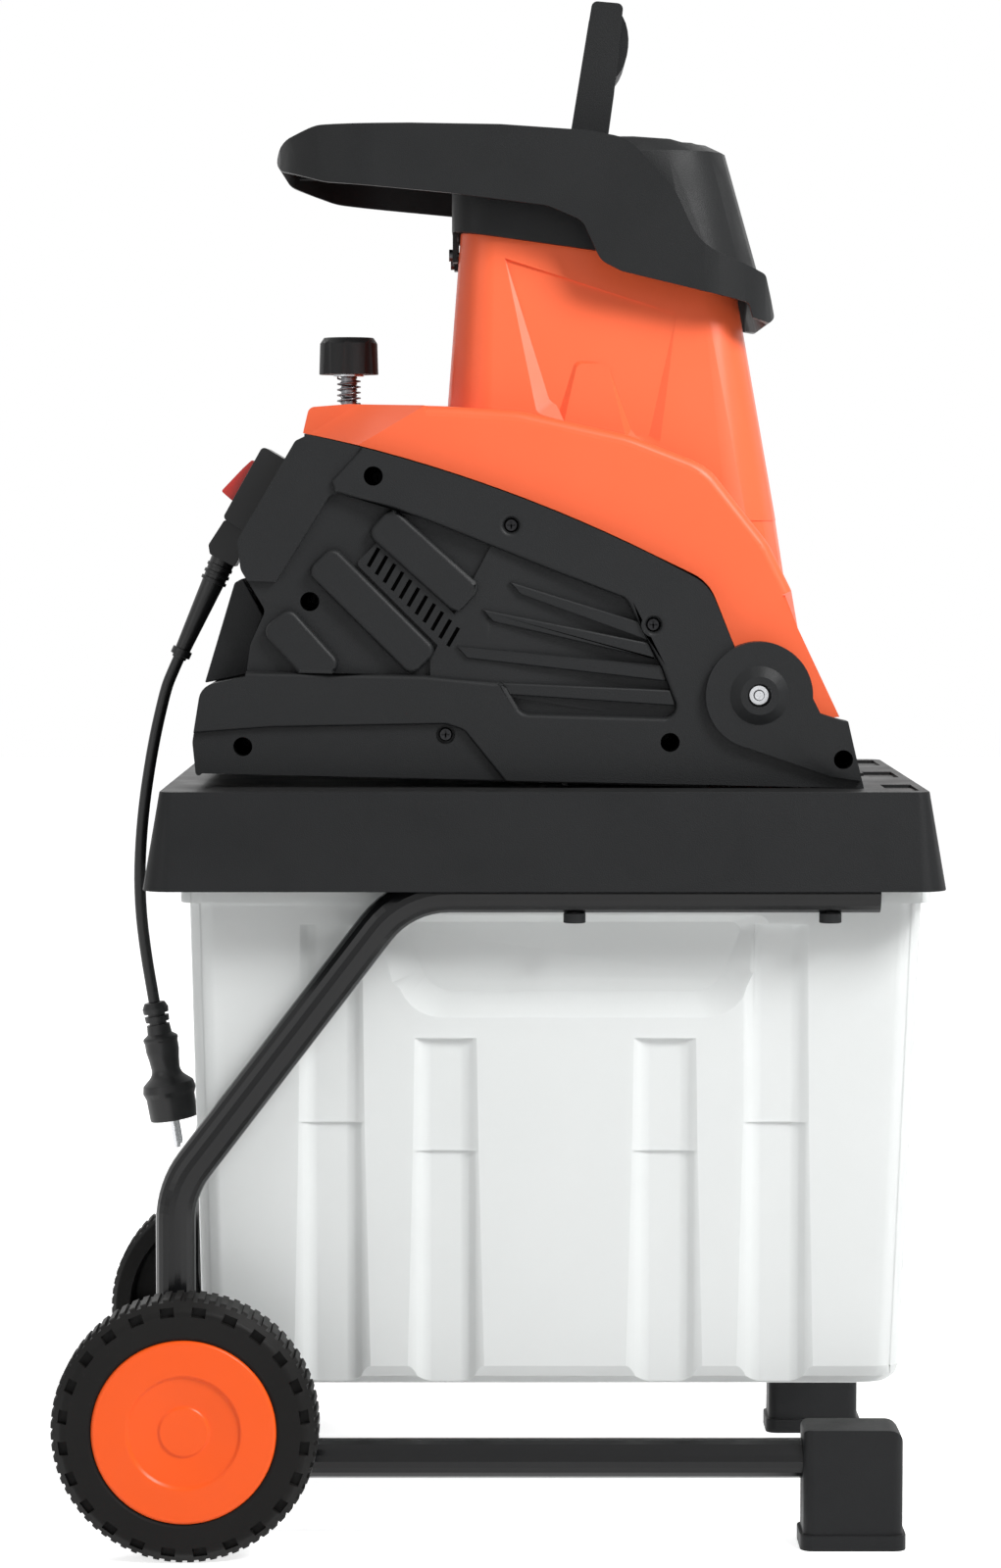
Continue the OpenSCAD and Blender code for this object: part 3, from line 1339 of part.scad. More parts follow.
module lock_stud() {
  color(dark_steel) at_lock(stud_tip_z) {
    cylinder(h = 2, d1 = stud_d - 3, d2 = stud_d - 0.5);
    translate([0, 0, 2]) cylinder(h = knob_low_z - stud_tip_z + knob_h - 9, d = stud_d);
  }
}

module lock_washer() color(steel) at_lock(0) ring(knob_low_z - washer_t, knob_low_z, stud_d + 9,
  stud_d + 2 * run_gap);
module lock_seat() color(steel) at_lock(0) ring(lug_top_z + 0.05, lug_top_z + seat_t, stud_d + 9, stud_d + 1);

spring_r = stud_d / 2 + spring_wire / 2 + 0.8;
spring_pitch = (spring_l - 2 * spring_wire) / spring_curls;
spring_rings = round(spring_curls * 8);
spring_path = concat([[spring_r, 0, 0]],
  [for (i = [0:spring_rings]) let (a = 360 * spring_curls * i / spring_rings)
    [spring_r * cos(a), spring_r * sin(a), spring_wire + spring_pitch * spring_curls * i / spring_rings]],
  [[spring_r * cos(360 * spring_curls), spring_r * sin(360 * spring_curls), spring_l]]);
spring_gap = min([for (i = [0:len(spring_path) - 1]) for (j = [i + 5:1:len(spring_path) - 1])
  norm(spring_path[i] - spring_path[j])]) - spring_wire;
echo(lock_spring_least_gap = spring_gap);

module lock_spring() color(steel) at_lock(lug_top_z + seat_t) swept_tube(spring_path, spring_wire, 6);

module lock_insert() {
  color(brass) at_lock(0) ring(insert_low_z + 0.1, lock_boss_z - 1, insert_d, stud_d + 0.4);
}

module interlock_switch() {
  color("#3a3a3c") at_lock(interlock_z) difference() {
    translate([-13, -8, 0]) cube([20, 16, 12]);
    translate([0, 0, 3]) cylinder(h = 20, d = 5 + 2 * run_gap);
  }
}

module interlock_plunger() {
  color(red) at_lock(interlock_z + 3 + plunger_press + 0.5)
    cylinder(h = plunger_top_z - interlock_z - 3.5 - plunger_press, d = 5);
}

// Switch box, inlet block and lead on the slanted back face
switch_angle = atan2(switch_head.y - switch_foot.y, switch_head.x - switch_foot.x);
switch_l = 56;
switch_low = 4;
flap_half_w = 15;
flap_hinge = [46, switch_h - 3];
flap_pin_d = 4;

// Frame on the slanted face: X up the face, Y out of it
module switch_view() translate(switch_foot) rotate(switch_angle) children();

module switch_box() {
  h = switch_h;
  color(black) head() difference() {
    side(-switch_w / 2, switch_w / 2) switch_view()
      polygon(rounded([[switch_low, 0.4], [switch_low + switch_l, 0.4], [switch_low + switch_l, h + 1, 3],
        [switch_low, h, 3]]));
    side(-flap_half_w - 0.5, flap_half_w + 0.5) switch_view() polygon([[14, h - 10], [54, h - 10], [54,
      h + 20], [14, h + 20]]);
    side(-flap_half_w - 6, flap_half_w + 6) switch_view() translate(flap_hinge)
      circle(d = flap_pin_d + 2 * run_gap);
  }
}

module switch_flap() {
  h = switch_h;
  color(red) head() {
    side(-flap_half_w, flap_half_w) switch_view()
      polygon(rounded([[49, h - 4], [48, h + 3.5, 2], [40, h + 6, 3], [19, h + 11, 1.5], [17, h + 1, 1],
        [40, h - 5]]));
    side(-flap_half_w - 5, flap_half_w + 5) switch_view() translate(flap_hinge) circle(d = flap_pin_d);
  }
}

inlet_half_w = 19;
relief_root = switch_foot + polar(22, switch_angle + 180) + polar(9, switch_angle + 90);
relief_lean = 24.5;
relief_in = 10;
relief_top_d = 17;
relief_dir = [-sin(relief_lean), 0, -cos(relief_lean)];
cord_exit = [relief_root.x, 0, relief_root.y + deck_z] + relief_l * relief_dir;

module at_relief() {
  translate([relief_root.x, 0, relief_root.y + deck_z]) rotate([0, 180 + relief_lean, 0]) children();
}

module inlet_block() {
  color(black) difference() {
    head() side(-inlet_half_w, inlet_half_w) switch_view()
      polygon(rounded([[switch_low - 0.3, 0.6], [switch_low - 0.3, switch_h - 1, 2], [-17, switch_h, 3],
        [-22, 18, 2], [-21, -0.8],
        [-2.5, -0.4]]));
    at_relief() translate([0, 0, -relief_in - seat_gap]) cylinder(h = 3 * relief_in,
      d = relief_top_d + 2 * seat_gap);
  }
}

module strain_relief() {
  color(black) at_relief() {
    translate([0, 0, -relief_in]) cylinder(h = relief_in, d = relief_top_d);
    cylinder(h = relief_l, d1 = relief_top_d, d2 = cord_d + 2);
    translate([0, 0, relief_l - 7]) cylinder(h = 5, d = cord_d + 6);
    for (z = [4, 9, 14]) translate([0, 0, z]) cylinder(h = 2.4, d = relief_top_d + 1.2);
  }
}

// Route of the hanging lead, from the end of the strain relief to the plug
cord_route = [[0, 0], [-4, -9], [-8, -19], [-12, -34], [-16.5, -54], [-20.5, -76], [-24, -100], [-26.5, -126],
  [-27.5, -152], [-26.5, -178], [-23.5, -204], [-20, -226], [-18, -238]];
cord_path = [for (p = cord_route) cord_exit + 0.08 * relief_dir + [p.x, 0, p.y]];
cord_end = cord_path[len(cord_path) - 1];
plug_dir = unit(cord_end - cord_path[len(cord_path) - 2]);
plug_l = 82;

module mains_cord() color(black) swept_tube(cord_path, cord_d, 10);

module at_plug() translate(cord_end + 0.05 * plug_dir) rotate([0, 180 + atan2(-plug_dir.x, -plug_dir.z),
  0]) children();

module plug() {
  r = plug_d / 2;
  c = cord_d / 2;
  color(black) at_plug() difference() {
    rotate_extrude() polygon(rounded([[0, 0], [c + 3, 0, 1], [c + 5, 4, 1], [c + 4, 16], [c + 4.5, 22],
      [r - 6, 25, 2], [r - 7, 28],
      [r - 7, 34], [r - 8, 40, 8], [r - 9, 50, 8], [r - 1, 57, 2], [r, 62, 2], [r - 1.5, 66], [r - 2,
        plug_l, 1], [0, plug_l]]));
    for (z = [7.5, 13.5]) translate([0, 0, z]) ring(0, 2, 30, 2 * c + 4);
    for (s = [-1, 1]) translate([s * (r + 0.5), 0, 66 + plug_l / 2]) cube([5, 7, plug_l], center = true);
    for (s = [-1, 1]) translate([0, s * pin_half_gap, plug_l - 10]) cylinder(h = 20, d = pin_d + 0.1);
  }
}

pin_d = 4.8;
pin_half_gap = 9.5;
pin_l = 19;

module plug_pins() {
  color(steel) at_plug() for (s = [-1, 1]) translate([0, s * pin_half_gap, plug_l - 9]) {
    cylinder(h = pin_l + 7, d = pin_d);
    translate([0, 0, pin_l + 7]) cylinder(h = 2, d1 = pin_d, d2 = pin_d - 1.6);
  }
}

frame_tube_right();
frame_tube_left();
foot_right();
foot_left();
axle();
axle_spacers();
axle_caps();
wheel_right();
wheel_left();
wheel_cap_right();
wheel_cap_left();
base_tray();
tray_bolts();
catch_box();
lower_housing_right();
lower_housing_left();
housing_screws();
rear_cover();
pivot_pin();
pivot_washers();
pivot_screws();
gear_plate();
motor_bracket();
brush_bracket();
stator();
windings();
brush_holders();
carbon_brushes();
spindle_bearings();
armature_bearings();
armature();
commutator();
cooling_fan();
pinion();
spindle();
drive_gear();
knife_disc();
knives();
knife_screws();
disc_bolt();
upper_housing();
hopper();
hopper_screws();
pusher();
pusher_grip();
lock_knob();
lock_stud();
lock_washer();
lock_seat();
lock_spring();
lock_insert();
interlock_switch();
interlock_plunger();
switch_box();
switch_flap();
inlet_block();
strain_relief();
mains_cord();
plug();
plug_pins();
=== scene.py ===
import json
import math

import bmesh
import bpy
import numpy as np
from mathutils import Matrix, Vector


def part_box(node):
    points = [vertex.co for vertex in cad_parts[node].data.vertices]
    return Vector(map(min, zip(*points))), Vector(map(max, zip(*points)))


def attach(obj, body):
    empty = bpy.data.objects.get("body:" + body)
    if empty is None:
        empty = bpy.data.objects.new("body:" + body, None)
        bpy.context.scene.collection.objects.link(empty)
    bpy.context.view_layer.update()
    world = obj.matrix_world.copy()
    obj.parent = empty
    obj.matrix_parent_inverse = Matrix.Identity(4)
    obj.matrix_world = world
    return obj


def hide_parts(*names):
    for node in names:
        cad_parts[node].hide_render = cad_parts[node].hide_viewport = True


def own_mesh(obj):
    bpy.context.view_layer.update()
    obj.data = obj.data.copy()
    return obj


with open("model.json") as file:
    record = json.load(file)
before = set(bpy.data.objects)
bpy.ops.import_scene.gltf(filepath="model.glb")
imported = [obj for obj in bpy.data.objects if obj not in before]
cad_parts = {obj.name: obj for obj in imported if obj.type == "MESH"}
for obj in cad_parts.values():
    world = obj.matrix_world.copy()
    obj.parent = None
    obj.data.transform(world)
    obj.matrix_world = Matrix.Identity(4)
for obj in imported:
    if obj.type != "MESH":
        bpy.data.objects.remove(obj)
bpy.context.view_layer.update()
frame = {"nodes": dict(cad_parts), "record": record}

nodes_cad = frame["nodes"]
record = frame["record"]
body_of_node = {n: b for b, names in record["behaviour"]["bodies"].items() for n in names}
slot_of_node = {s["node"]: s["material_slot"] for s in record["subparts"]}

MM = 0.001
DECK_Z = 494 * MM
PLATE_Y = 150 * MM
FIELD_DEPTH = 9 * MM


# Camera and the hanging lead

camera = bpy.data.cameras.new("photo_view")
camera.lens = 97.99
camera.sensor_width = 36.0
camera.sensor_fit = "AUTO"
camera.clip_end = 50
photo_view = bpy.data.objects.new("photo_view", camera)
photo_view.location = (0, -2.940, 0.67106)
photo_view.rotation_euler = (math.radians(90 - 3.574), 0, 0)
bpy.context.scene.collection.objects.link(photo_view)
bpy.context.scene.camera = photo_view

LEAD_EXIT = Vector((-0.221596, 0.0, 0.574137))
LEAD_STEPS = [(0, 0), (-4, -9), (-8, -19), (-12, -34), (-16.5, -54), (-20.5, -76), (-24, -100), (-26.5, -126),
              (-27.5, -152), (-26.5, -178), (-23.5, -204), (-20, -226), (-18, -238)]
LEAD_WIDTH = 8 * MM
LEAD_PARTS = 3


def smooth_route(points, parts):
    """A rounder run of points through the given ones."""
    out = []
    last = len(points) - 1
    for i in range(last):
        a, b, c, d = points[max(i - 1, 0)], points[i], points[i + 1], points[min(i + 2, last)]
        for k in range(parts):
            t = k / parts
            out.append(0.5 * (2 * b + (c - a) * t + (2 * a - 5 * b + 4 * c - d) * t * t
                              + (3 * b - a - 3 * c + d) * t ** 3))
    out.append(points[-1])
    return out


lead_route = smooth_route([LEAD_EXIT + Vector((x * MM, 0, z * MM)) for x, z in LEAD_STEPS], LEAD_PARTS)


# Node trees

def add(tree, kind, **values):
    """A node with some of its sockets set or linked, by their names."""
    node = tree.nodes.new(kind)
    for label, value in values.items():
        socket = node.inputs[label.replace("_", " ")]
        if isinstance(value, bpy.types.NodeSocket):
            tree.links.new(value, socket)
        else:
            socket.default_value = value
    return node


def calc(tree, operation, first, second):
    """One sum on two numbers or sockets."""
    node = tree.nodes.new("ShaderNodeMath")
    node.operation = operation
    for i, value in enumerate((first, second)):
        if isinstance(value, bpy.types.NodeSocket):
            tree.links.new(value, node.inputs[i])
        else:
            node.inputs[i].default_value = value
    return node.outputs["Value"]


# Finishes

# Noise of the finishes, in cells to the metre: shade and gloss of plastic, dust, and shade of metal
TONE_CELLS, GLOSS_CELLS, DUST_CELLS, METAL_CELLS = 9.0, 22.0, 45.0, 60.0
NOISE_ROUGHNESS = 0.55
DUST_TINT = (0.16, 0.155, 0.145)
METAL_SHADE = 0.86
MARK_DEPTH, MARK_STRENGTH = 0.02 * MM, 0.2


def blank_finish(name):
    """An empty principled material, its tree and its shader."""
    mat = bpy.data.materials.new(name)
    mat.use_nodes = True
    return mat, mat.node_tree, mat.node_tree.nodes["Principled BSDF"]


def noise(tree, scale, detail, stretch=(1, 1, 1)):
    """Noise in the piece's own space, of some cells to the metre."""
    coord = tree.nodes.new("ShaderNodeTexCoord")
    mapping = add(tree, "ShaderNodeMapping", Vector=coord.outputs["Object"], Scale=stretch)
    cloud = add(tree, "ShaderNodeTexNoise", Vector=mapping.outputs["Vector"], Scale=scale, Detail=detail,
                Roughness=NOISE_ROUGHNESS)
    return cloud.outputs["Fac"]


def spark_pits(tree, scale):
    """Small cells as a spark-eroded mould leaves them."""
    coord = tree.nodes.new("ShaderNodeTexCoord")
    return add(tree, "ShaderNodeTexVoronoi", Vector=coord.outputs["Object"], Scale=scale).outputs["Distance"]


def spread(tree, value, low, high, start=0.3, end=0.7):
    """A value stretched from start and end to low and high."""
    span = add(tree, "ShaderNodeMapRange", Value=value, From_Min=start, From_Max=end, To_Min=low, To_Max=high)
    return span.outputs["Result"]


def blend_colours(tree, factor, first, second):
    """A colour between two, which may be colours or sockets."""
    mix = tree.nodes.new("ShaderNodeMix")
    mix.data_type = "RGBA"
    for socket, value in (("A", first), ("B", second)):
        if isinstance(value, tuple):
            mix.inputs[socket].default_value = (*value, 1)
        else:
            tree.links.new(value, mix.inputs[socket])
    tree.links.new(factor, mix.inputs["Factor"])
    return mix.outputs["Result"]


def add_grain(tree, shader, height, depth, strength):
    """Fine relief from a height."""
    bump = add(tree, "ShaderNodeBump", Height=height, Strength=strength, Distance=depth)
    tree.links.new(bump.outputs["Normal"], shader.inputs["Normal"])


def add_dust(tree, colour, amount):
    """A faint paler film on what faces up."""
    facing = tree.nodes.new("ShaderNodeNewGeometry")
    split = add(tree, "ShaderNodeSeparateXYZ", Vector=facing.outputs["Normal"])
    up = spread(tree, split.outputs["Z"], 0.0, amount, 0.2, 1.0)
    film = calc(tree, "MULTIPLY", up, noise(tree, DUST_CELLS, 6.0))
    return blend_colours(tree, film, colour, DUST_TINT)


def moulded(name, colour, other, rough, grain, depth, strength=0.35, shine=0.5, dust=0.0):
    """Moulded plastic: two near shades, wandering gloss and an eroded grain of some cells to the metre."""
    mat, tree, shader = blank_finish(name)
    shade = blend_colours(tree, noise(tree, TONE_CELLS, 4.0), colour, other)
    if dust:
        shade = add_dust(tree, shade, dust)
    tree.links.new(shade, shader.inputs["Base Color"])
    tree.links.new(spread(tree, noise(tree, GLOSS_CELLS, 5.0), *rough), shader.inputs["Roughness"])
    shader.inputs["Specular IOR Level"].default_value = shine
    add_grain(tree, shader, spark_pits(tree, grain), depth, strength)
    return mat


def metal(name, colour, rough, marks_scale=600.0):
    """Bare or plated metal with fine marks."""
    mat, tree, shader = blank_finish(name)
    darker = tuple(METAL_SHADE * c for c in colour)
    shade = blend_colours(tree, noise(tree, METAL_CELLS, 5.0), colour, darker)
    tree.links.new(shade, shader.inputs["Base Color"])
    shader.inputs["Metallic"].default_value = 1.0
    marks = noise(tree, marks_scale, 3.0)
    tree.links.new(spread(tree, marks, *rough, 0.2, 0.8), shader.inputs["Roughness"])
    add_grain(tree, shader, marks, MARK_DEPTH, MARK_STRENGTH)
    return mat


grained_black = moulded("grained_black", (0.0078, 0.0084, 0.0090), (0.0120, 0.0126, 0.0134), rough=(0.42, 0.56),
                        grain=1500, depth=0.18 * MM, strength=0.5, shine=0.21, dust=0.05)
tray_black = moulded("tray_black", (0.0066, 0.0070, 0.0076), (0.0108, 0.0113, 0.0120), rough=(0.40, 0.57),
                     grain=1300, depth=0.16 * MM, strength=0.45, shine=0.18, dust=0.08)
hopper_black = moulded("hopper_black", (0.0072, 0.0077, 0.0082), (0.0110, 0.0116, 0.0122), rough=(0.40, 0.54),
                       grain=1500, depth=0.14 * MM, strength=0.45, shine=0.20, dust=0.05)
smooth_black = moulded("smooth_black", (0.0062, 0.0065, 0.0070), (0.0090, 0.0094, 0.0100), rough=(0.26, 0.36),
                       grain=900, depth=0.05 * MM, strength=0.25, shine=0.34)
tyre_black = moulded("tyre_black", (0.0052, 0.0050, 0.0048), (0.0090, 0.0087, 0.0084), rough=(0.44, 0.60),
                     grain=1400, depth=0.14 * MM, strength=0.4, shine=0.12, dust=0.05)
# Painted shade: near-black finish of the sheets that stand for the dark inside the air slots
vent_shade_black = moulded("vent_shade_black", (0.0025, 0.0025, 0.0027), (0.004, 0.004, 0.0042), rough=(0.75, 0.85),
                       grain=900, depth=0.1 * MM, strength=0.2, shine=0.1)
lead_black = moulded("lead_black", (0.0075, 0.0077, 0.0082), (0.0110, 0.0112, 0.0118), rough=(0.30, 0.42),
                     grain=1100, depth=0.04 * MM, strength=0.25, shine=0.36)
grip_black = moulded("grip_black", (0.018, 0.019, 0.021), (0.030, 0.031, 0.034), rough=(0.48, 0.64),
                     grain=1800, depth=0.14 * MM, strength=0.4, shine=0.30)
carbon_black = moulded("carbon_black", (0.03, 0.03, 0.032), (0.05, 0.05, 0.052), rough=(0.6, 0.75),
                       grain=1500, depth=0.1 * MM)
tube_coat = moulded("tube_coat", (0.0042, 0.0043, 0.0047), (0.0066, 0.0068, 0.0072), rough=(0.15, 0.22),
                    grain=700, depth=0.06 * MM, strength=0.3, shine=0.26)
orange_shell = moulded("orange_shell", (0.93, 0.146, 0.052), (0.88, 0.132, 0.046), rough=(0.34, 0.46),
                       grain=900, depth=0.06 * MM, strength=0.2, shine=0.34)
cap_orange = moulded("cap_orange", (0.92, 0.106, 0.010), (0.87, 0.096, 0.009), rough=(0.28, 0.38),
                     grain=900, depth=0.05 * MM, strength=0.2, shine=0.26)
switch_red = moulded("switch_red", (0.55, 0.020, 0.014), (0.62, 0.032, 0.022), rough=(0.16, 0.26),
                     grain=800, depth=0.03 * MM, strength=0.2)
plated_steel = metal("plated_steel", (0.66, 0.67, 0.69), (0.20, 0.36))
blackened_steel = metal("blackened_steel", (0.20, 0.20, 0.21), (0.28, 0.42))
black_screw = metal("black_screw", (0.035, 0.035, 0.037), (0.4, 0.55))
dark_iron = metal("dark_iron", (0.10, 0.10, 0.105), (0.35, 0.5))
cast_alloy = metal("cast_alloy", (0.66, 0.67, 0.69), (0.35, 0.5), marks_scale=900)
bare_copper = metal("bare_copper", (0.72, 0.36, 0.19), (0.25, 0.4))
turned_brass = metal("turned_brass", (0.76, 0.58, 0.26), (0.22, 0.34))


def milky(name):
    """Cloudy white plastic that lets some light in."""
    mat, tree, shader = blank_finish(name)
    cloud = noise(tree, 5.0, 5.0, stretch=(1, 1, 0.4))
    shade = blend_colours(tree, cloud, (0.70, 0.728, 0.720), (0.765, 0.785, 0.780))
    tree.links.new(shade, shader.inputs["Base Color"])
    tree.links.new(spread(tree, noise(tree, 12.0, 5.0), 0.30, 0.44), shader.inputs["Roughness"])
    shader.inputs["Subsurface Weight"].default_value = 0.30
    shader.inputs["Subsurface Radius"].default_value = (0.02, 0.02, 0.02)
    shader.inputs["Subsurface Scale"].default_value = 0.5
    add_grain(tree, shader, noise(tree, 700.0, 3.0), 0.05 * MM, 0.2)
    return mat


finish_of_slot = {
    "black_plastic": grained_black, "gloss_black": smooth_black, "orange_plastic": orange_shell,
    "milky_plastic": milky("milky_plastic"), "tube_paint": tube_coat, "tyre_plastic": tyre_black, "steel": plated_steel,
    "dark_steel": dark_iron, "aluminium": cast_alloy, "copper": bare_copper, "brass": turned_brass,
    "carbon": carbon_black, "soft_grip": grip_black, "lead_rubber": lead_black, "red_plastic": switch_red,
}
finish_of_node = {
    "base_tray": tray_black, "foot_right": tray_black, "foot_left": tray_black, "hopper": hopper_black,
    "pusher": hopper_black, "lock_knob": hopper_black, "wheel_cap_right": cap_orange, "wheel_cap_left": cap_orange,
    "lock_spring": blackened_steel, "lock_stud": blackened_steel, "housing_screws": black_screw,
}


def finish_for(node):
    """The node's own finish, or else that of its slot."""
    return finish_of_node.get(node, finish_of_slot[slot_of_node[node]])


# Rigid pieces with softened edges

# Angles in degrees: faces joined into one, faces that weigh as one, creases in the shading, and edges that are rounded
FLAT_ANGLE, LEVEL_ANGLE, CREASE_ANGLE, EDGE_ANGLE = 0.6, 0.3, 34.0, 32.0
BOX_CREASE, COIL_CREASE = 12.0, 70.0
JOIN_GAP = 0.02 * MM
EDGE_SEGMENTS = 2


def shown_as(obj, node):
    """The finished piece stands for its CAD node and moves with the same body."""
    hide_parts(node)
    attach(obj, body_of_node[node])


def placed(name, mesh):
    """A new object at the origin that holds a mesh."""
    obj = bpy.data.objects.new(name, mesh)
    bpy.context.scene.collection.objects.link(obj)
    return obj


def plain_mesh(obj):
    """The object's evaluated shape as a plain mesh, with no modifiers left."""
    deps = bpy.context.evaluated_depsgraph_get()
    mesh = bpy.data.meshes.new_from_object(obj.evaluated_get(deps))
    obj.modifiers.clear()
    obj.data = mesh
    return mesh


def as_mesh(name, work):
    """A new mesh with what was worked out, which is then let go."""
    mesh = bpy.data.meshes.new(name)
    work.to_mesh(mesh)
    work.free()
    return mesh


def coated(mesh, finish):
    """The mesh in one finish alone."""
    mesh.materials.clear()
    mesh.materials.append(finish)


def merged_copy(node):
    """The node's triangles joined into one skin with flat faces whole."""
    work = bmesh.new()
    work.from_mesh(nodes_cad[node].data)
    bmesh.ops.remove_doubles(work, verts=work.verts, dist=JOIN_GAP)
    bmesh.ops.dissolve_limit(work, angle_limit=math.radians(FLAT_ANGLE), verts=work.verts, edges=work.edges)
    return work


def linked_groups(count, first, second):
    """The group that each of a number of things belongs to, where every pair is in one group."""
    group = np.arange(count)
    while True:
        lower = np.minimum(group[first], group[second])
        step = group.copy()
        np.minimum.at(step, first, lower)
        np.minimum.at(step, second, lower)
        step = step[step]
        if np.array_equal(step, group):
            return group
        group = step


def values_of(items, name, kind):
    """One value for each of a mesh's items."""
    values = np.empty(len(items), dtype=kind)
    items.foreach_get(name, values)
    return values


def vectors_of(items, name):
    """One vector for each of a mesh's items."""
    values = np.empty(len(items) * 3, dtype=np.float32)
    items.foreach_get(name, values)
    return values.reshape(-1, 3).astype(float)


def even_shading(mesh, crease=CREASE_ANGLE):
    """Smooth shading in which a broad flat face keeps its own direction and the narrow edge faces turn between."""
    corners, faces = len(mesh.loops), len(mesh.polygons)
    vert, edge = values_of(mesh.loops, "vertex_index", np.int32), values_of(mesh.loops, "edge_index", np.int32)
    start = values_of(mesh.polygons, "loop_start", np.int32)
    total = values_of(mesh.polygons, "loop_total", np.int32)
    area = values_of(mesh.polygons, "area", np.float32)
    facing, place = vectors_of(mesh.polygons, "normal"), vectors_of(mesh.vertices, "co")
    face = np.repeat(np.arange(faces), total)
    after = np.arange(corners) + 1
    after[start + total - 1] = start
    before = np.empty(corners, dtype=np.int64)
    before[after] = np.arange(corners)

    # Pairs of corners across each edge, and the flat groups of faces that weigh by their whole area
    order = np.argsort(edge, kind="stable")
    pair = np.flatnonzero((edge[order][:-1] == edge[order][1:]) & (np.bincount(edge)[edge[order][:-1]] == 2))
    one, two = order[pair], order[pair + 1]
    turn = np.sum(facing[face[one]] * facing[face[two]], axis=1)
    level = turn > math.cos(math.radians(LEVEL_ANGLE))
    plane = linked_groups(faces, face[one][level], face[two][level])
    weight = np.bincount(plane, weights=area, minlength=faces)[plane] ** 2

    # Fans of corners round each point, split at creases, and one direction for each fan
    sharp = values_of(mesh.edges, "use_edge_sharp", bool)
    soft = (turn > math.cos(math.radians(crease))) & ~sharp[edge[one]]
    one, two = one[soft], two[soft]
    fan = linked_groups(corners, np.concatenate([one, after[one]]), np.concatenate([after[two], two]))
    arms = [place[vert[side]] - place[vert] for side in (after, before)]
    size = np.linalg.norm(arms[0], axis=1) * np.linalg.norm(arms[1], axis=1)
    bend = np.arccos(np.clip(np.sum(arms[0] * arms[1], axis=1) / np.maximum(size, 1e-18), -1, 1))
    share = facing[face] * (weight[face] * bend + 1e-24)[:, None]
    common = np.stack([np.bincount(fan, weights=share[:, axis], minlength=corners) for axis in range(3)], axis=1)[fan]
    length = np.linalg.norm(common, axis=1)
    common = np.where(length[:, None] > 0, common / np.maximum(length, 1e-30)[:, None], facing[face])
    mesh.shade_smooth()
    mesh.normals_split_custom_set(common.tolist())


def softened(node, width, before=None, after=None, crease=CREASE_ANGLE):
    """A merged copy of a CAD node with its sharp edges rounded and its large faces shaded flat."""
    work = merged_copy(node)
    if before:
        before(work)
    obj = placed(node + "_shell", as_mesh(node + "_shell", work))
    bevel = obj.modifiers.new("edge", "BEVEL")
    bevel.limit_method = "ANGLE"
    bevel.angle_limit = math.radians(EDGE_ANGLE)
    bevel.width = width * MM
    bevel.segments = EDGE_SEGMENTS
    bevel.use_clamp_overlap = True
    bevel.miter_outer = "MITER_ARC"
    mesh = plain_mesh(obj)
    even_shading(mesh, crease)
    if after:
        after(mesh)
    coated(mesh, finish_for(node))
    shown_as(obj, node)
    return obj


def rounded(work, edges, width, segments, **more):
    """A round of some width, in millimetres, along some edges."""
    bmesh.ops.bevel(work, geom=edges, offset=width * MM, offset_type="OFFSET", segments=segments, profile=0.5,
                    affect="EDGES", clamp_overlap=False, loop_slide=False, **more)


def between(value, span):
    """Whether a value lies inside a span."""
    return span[0] < value < span[1]


def within_one(value):
    """The value, held between 0 and 1."""
    return max(0.0, min(1.0, value))


# Relief of the half shells: how far under the plate's face an edge and its wall's foot lie, and the round there, in mm
RELIEF_ROUNDS = (((-0.1, 0.7), (5.8, 9.5), 3.2), ((-0.1, 0.7), (3.0, 5.7), 1.8), ((1.5, 2.5), (3.0, 9.5), 1.3))
FACES_SIDE, STEEP_WALL = 0.99, 0.2
PLATE_GAP = 1


def under_plate(vert):
    """How far a point lies under the plate's face, in millimetres."""
    return (PLATE_Y - abs(vert.co.y)) / MM


def relief_edges(work, top, foot):
    """Edges of the relief whose top lies at one depth and whose wall ends at another."""
    found = []
    for edge in work.edges:
        if len(edge.link_faces) != 2:
            continue
        depth = [under_plate(v) for v in edge.verts]
        if min(depth) < top[0] or max(depth) > top[1]:
            continue
        flat = [abs(f.normal.y) > FACES_SIDE for f in edge.link_faces]
        if flat[0] == flat[1]:
            continue
        wall = edge.link_faces[0] if flat[1] else edge.link_faces[1]
        if foot[0] <= max(under_plate(v) for v in wall.verts) <= foot[1] and abs(wall.normal.y) < STEEP_WALL:
            found.append(edge)
    return found


def chamfer_relief(work):
    """Broad soft edges on the bars and round the field, as the mould has them."""
    plate = [f for f in work.faces
             if abs(f.normal.y) > FACES_SIDE and PLATE_Y - abs(f.calc_center_median().y) < PLATE_GAP * MM]
    bmesh.ops.triangulate(work, faces=plate, ngon_method="BEAUTY")
    for top, foot, width in RELIEF_ROUNDS:
        edges = relief_edges(work, top, foot)
        if edges:
            rounded(work, edges, width, segments=3, miter_outer="ARC")


# The upper housing's arched cover: its lowest and innermost place and its round in mm, and how its faces lie
ARCH_LOW, ARCH_OUT, ARCH_ROUND = 560, 130, 7
TOP_ASIDE, SIDE_ASIDE, TOP_UP = 0.1, 0.85, 0.2
# The chute's leaning sides: how they lie, and one's two planes, each a point in mm and the fall along x and z
CHUTE_OUT, CHUTE_UP, CHUTE_ALONG = 0.95, (0.08, 0.24), 0.08
CHUTE_PLANES = ((0, 101.1, 742.1, 0, 0.1482), (75.4, 104.1, 722, 0.01277, 0.1663))
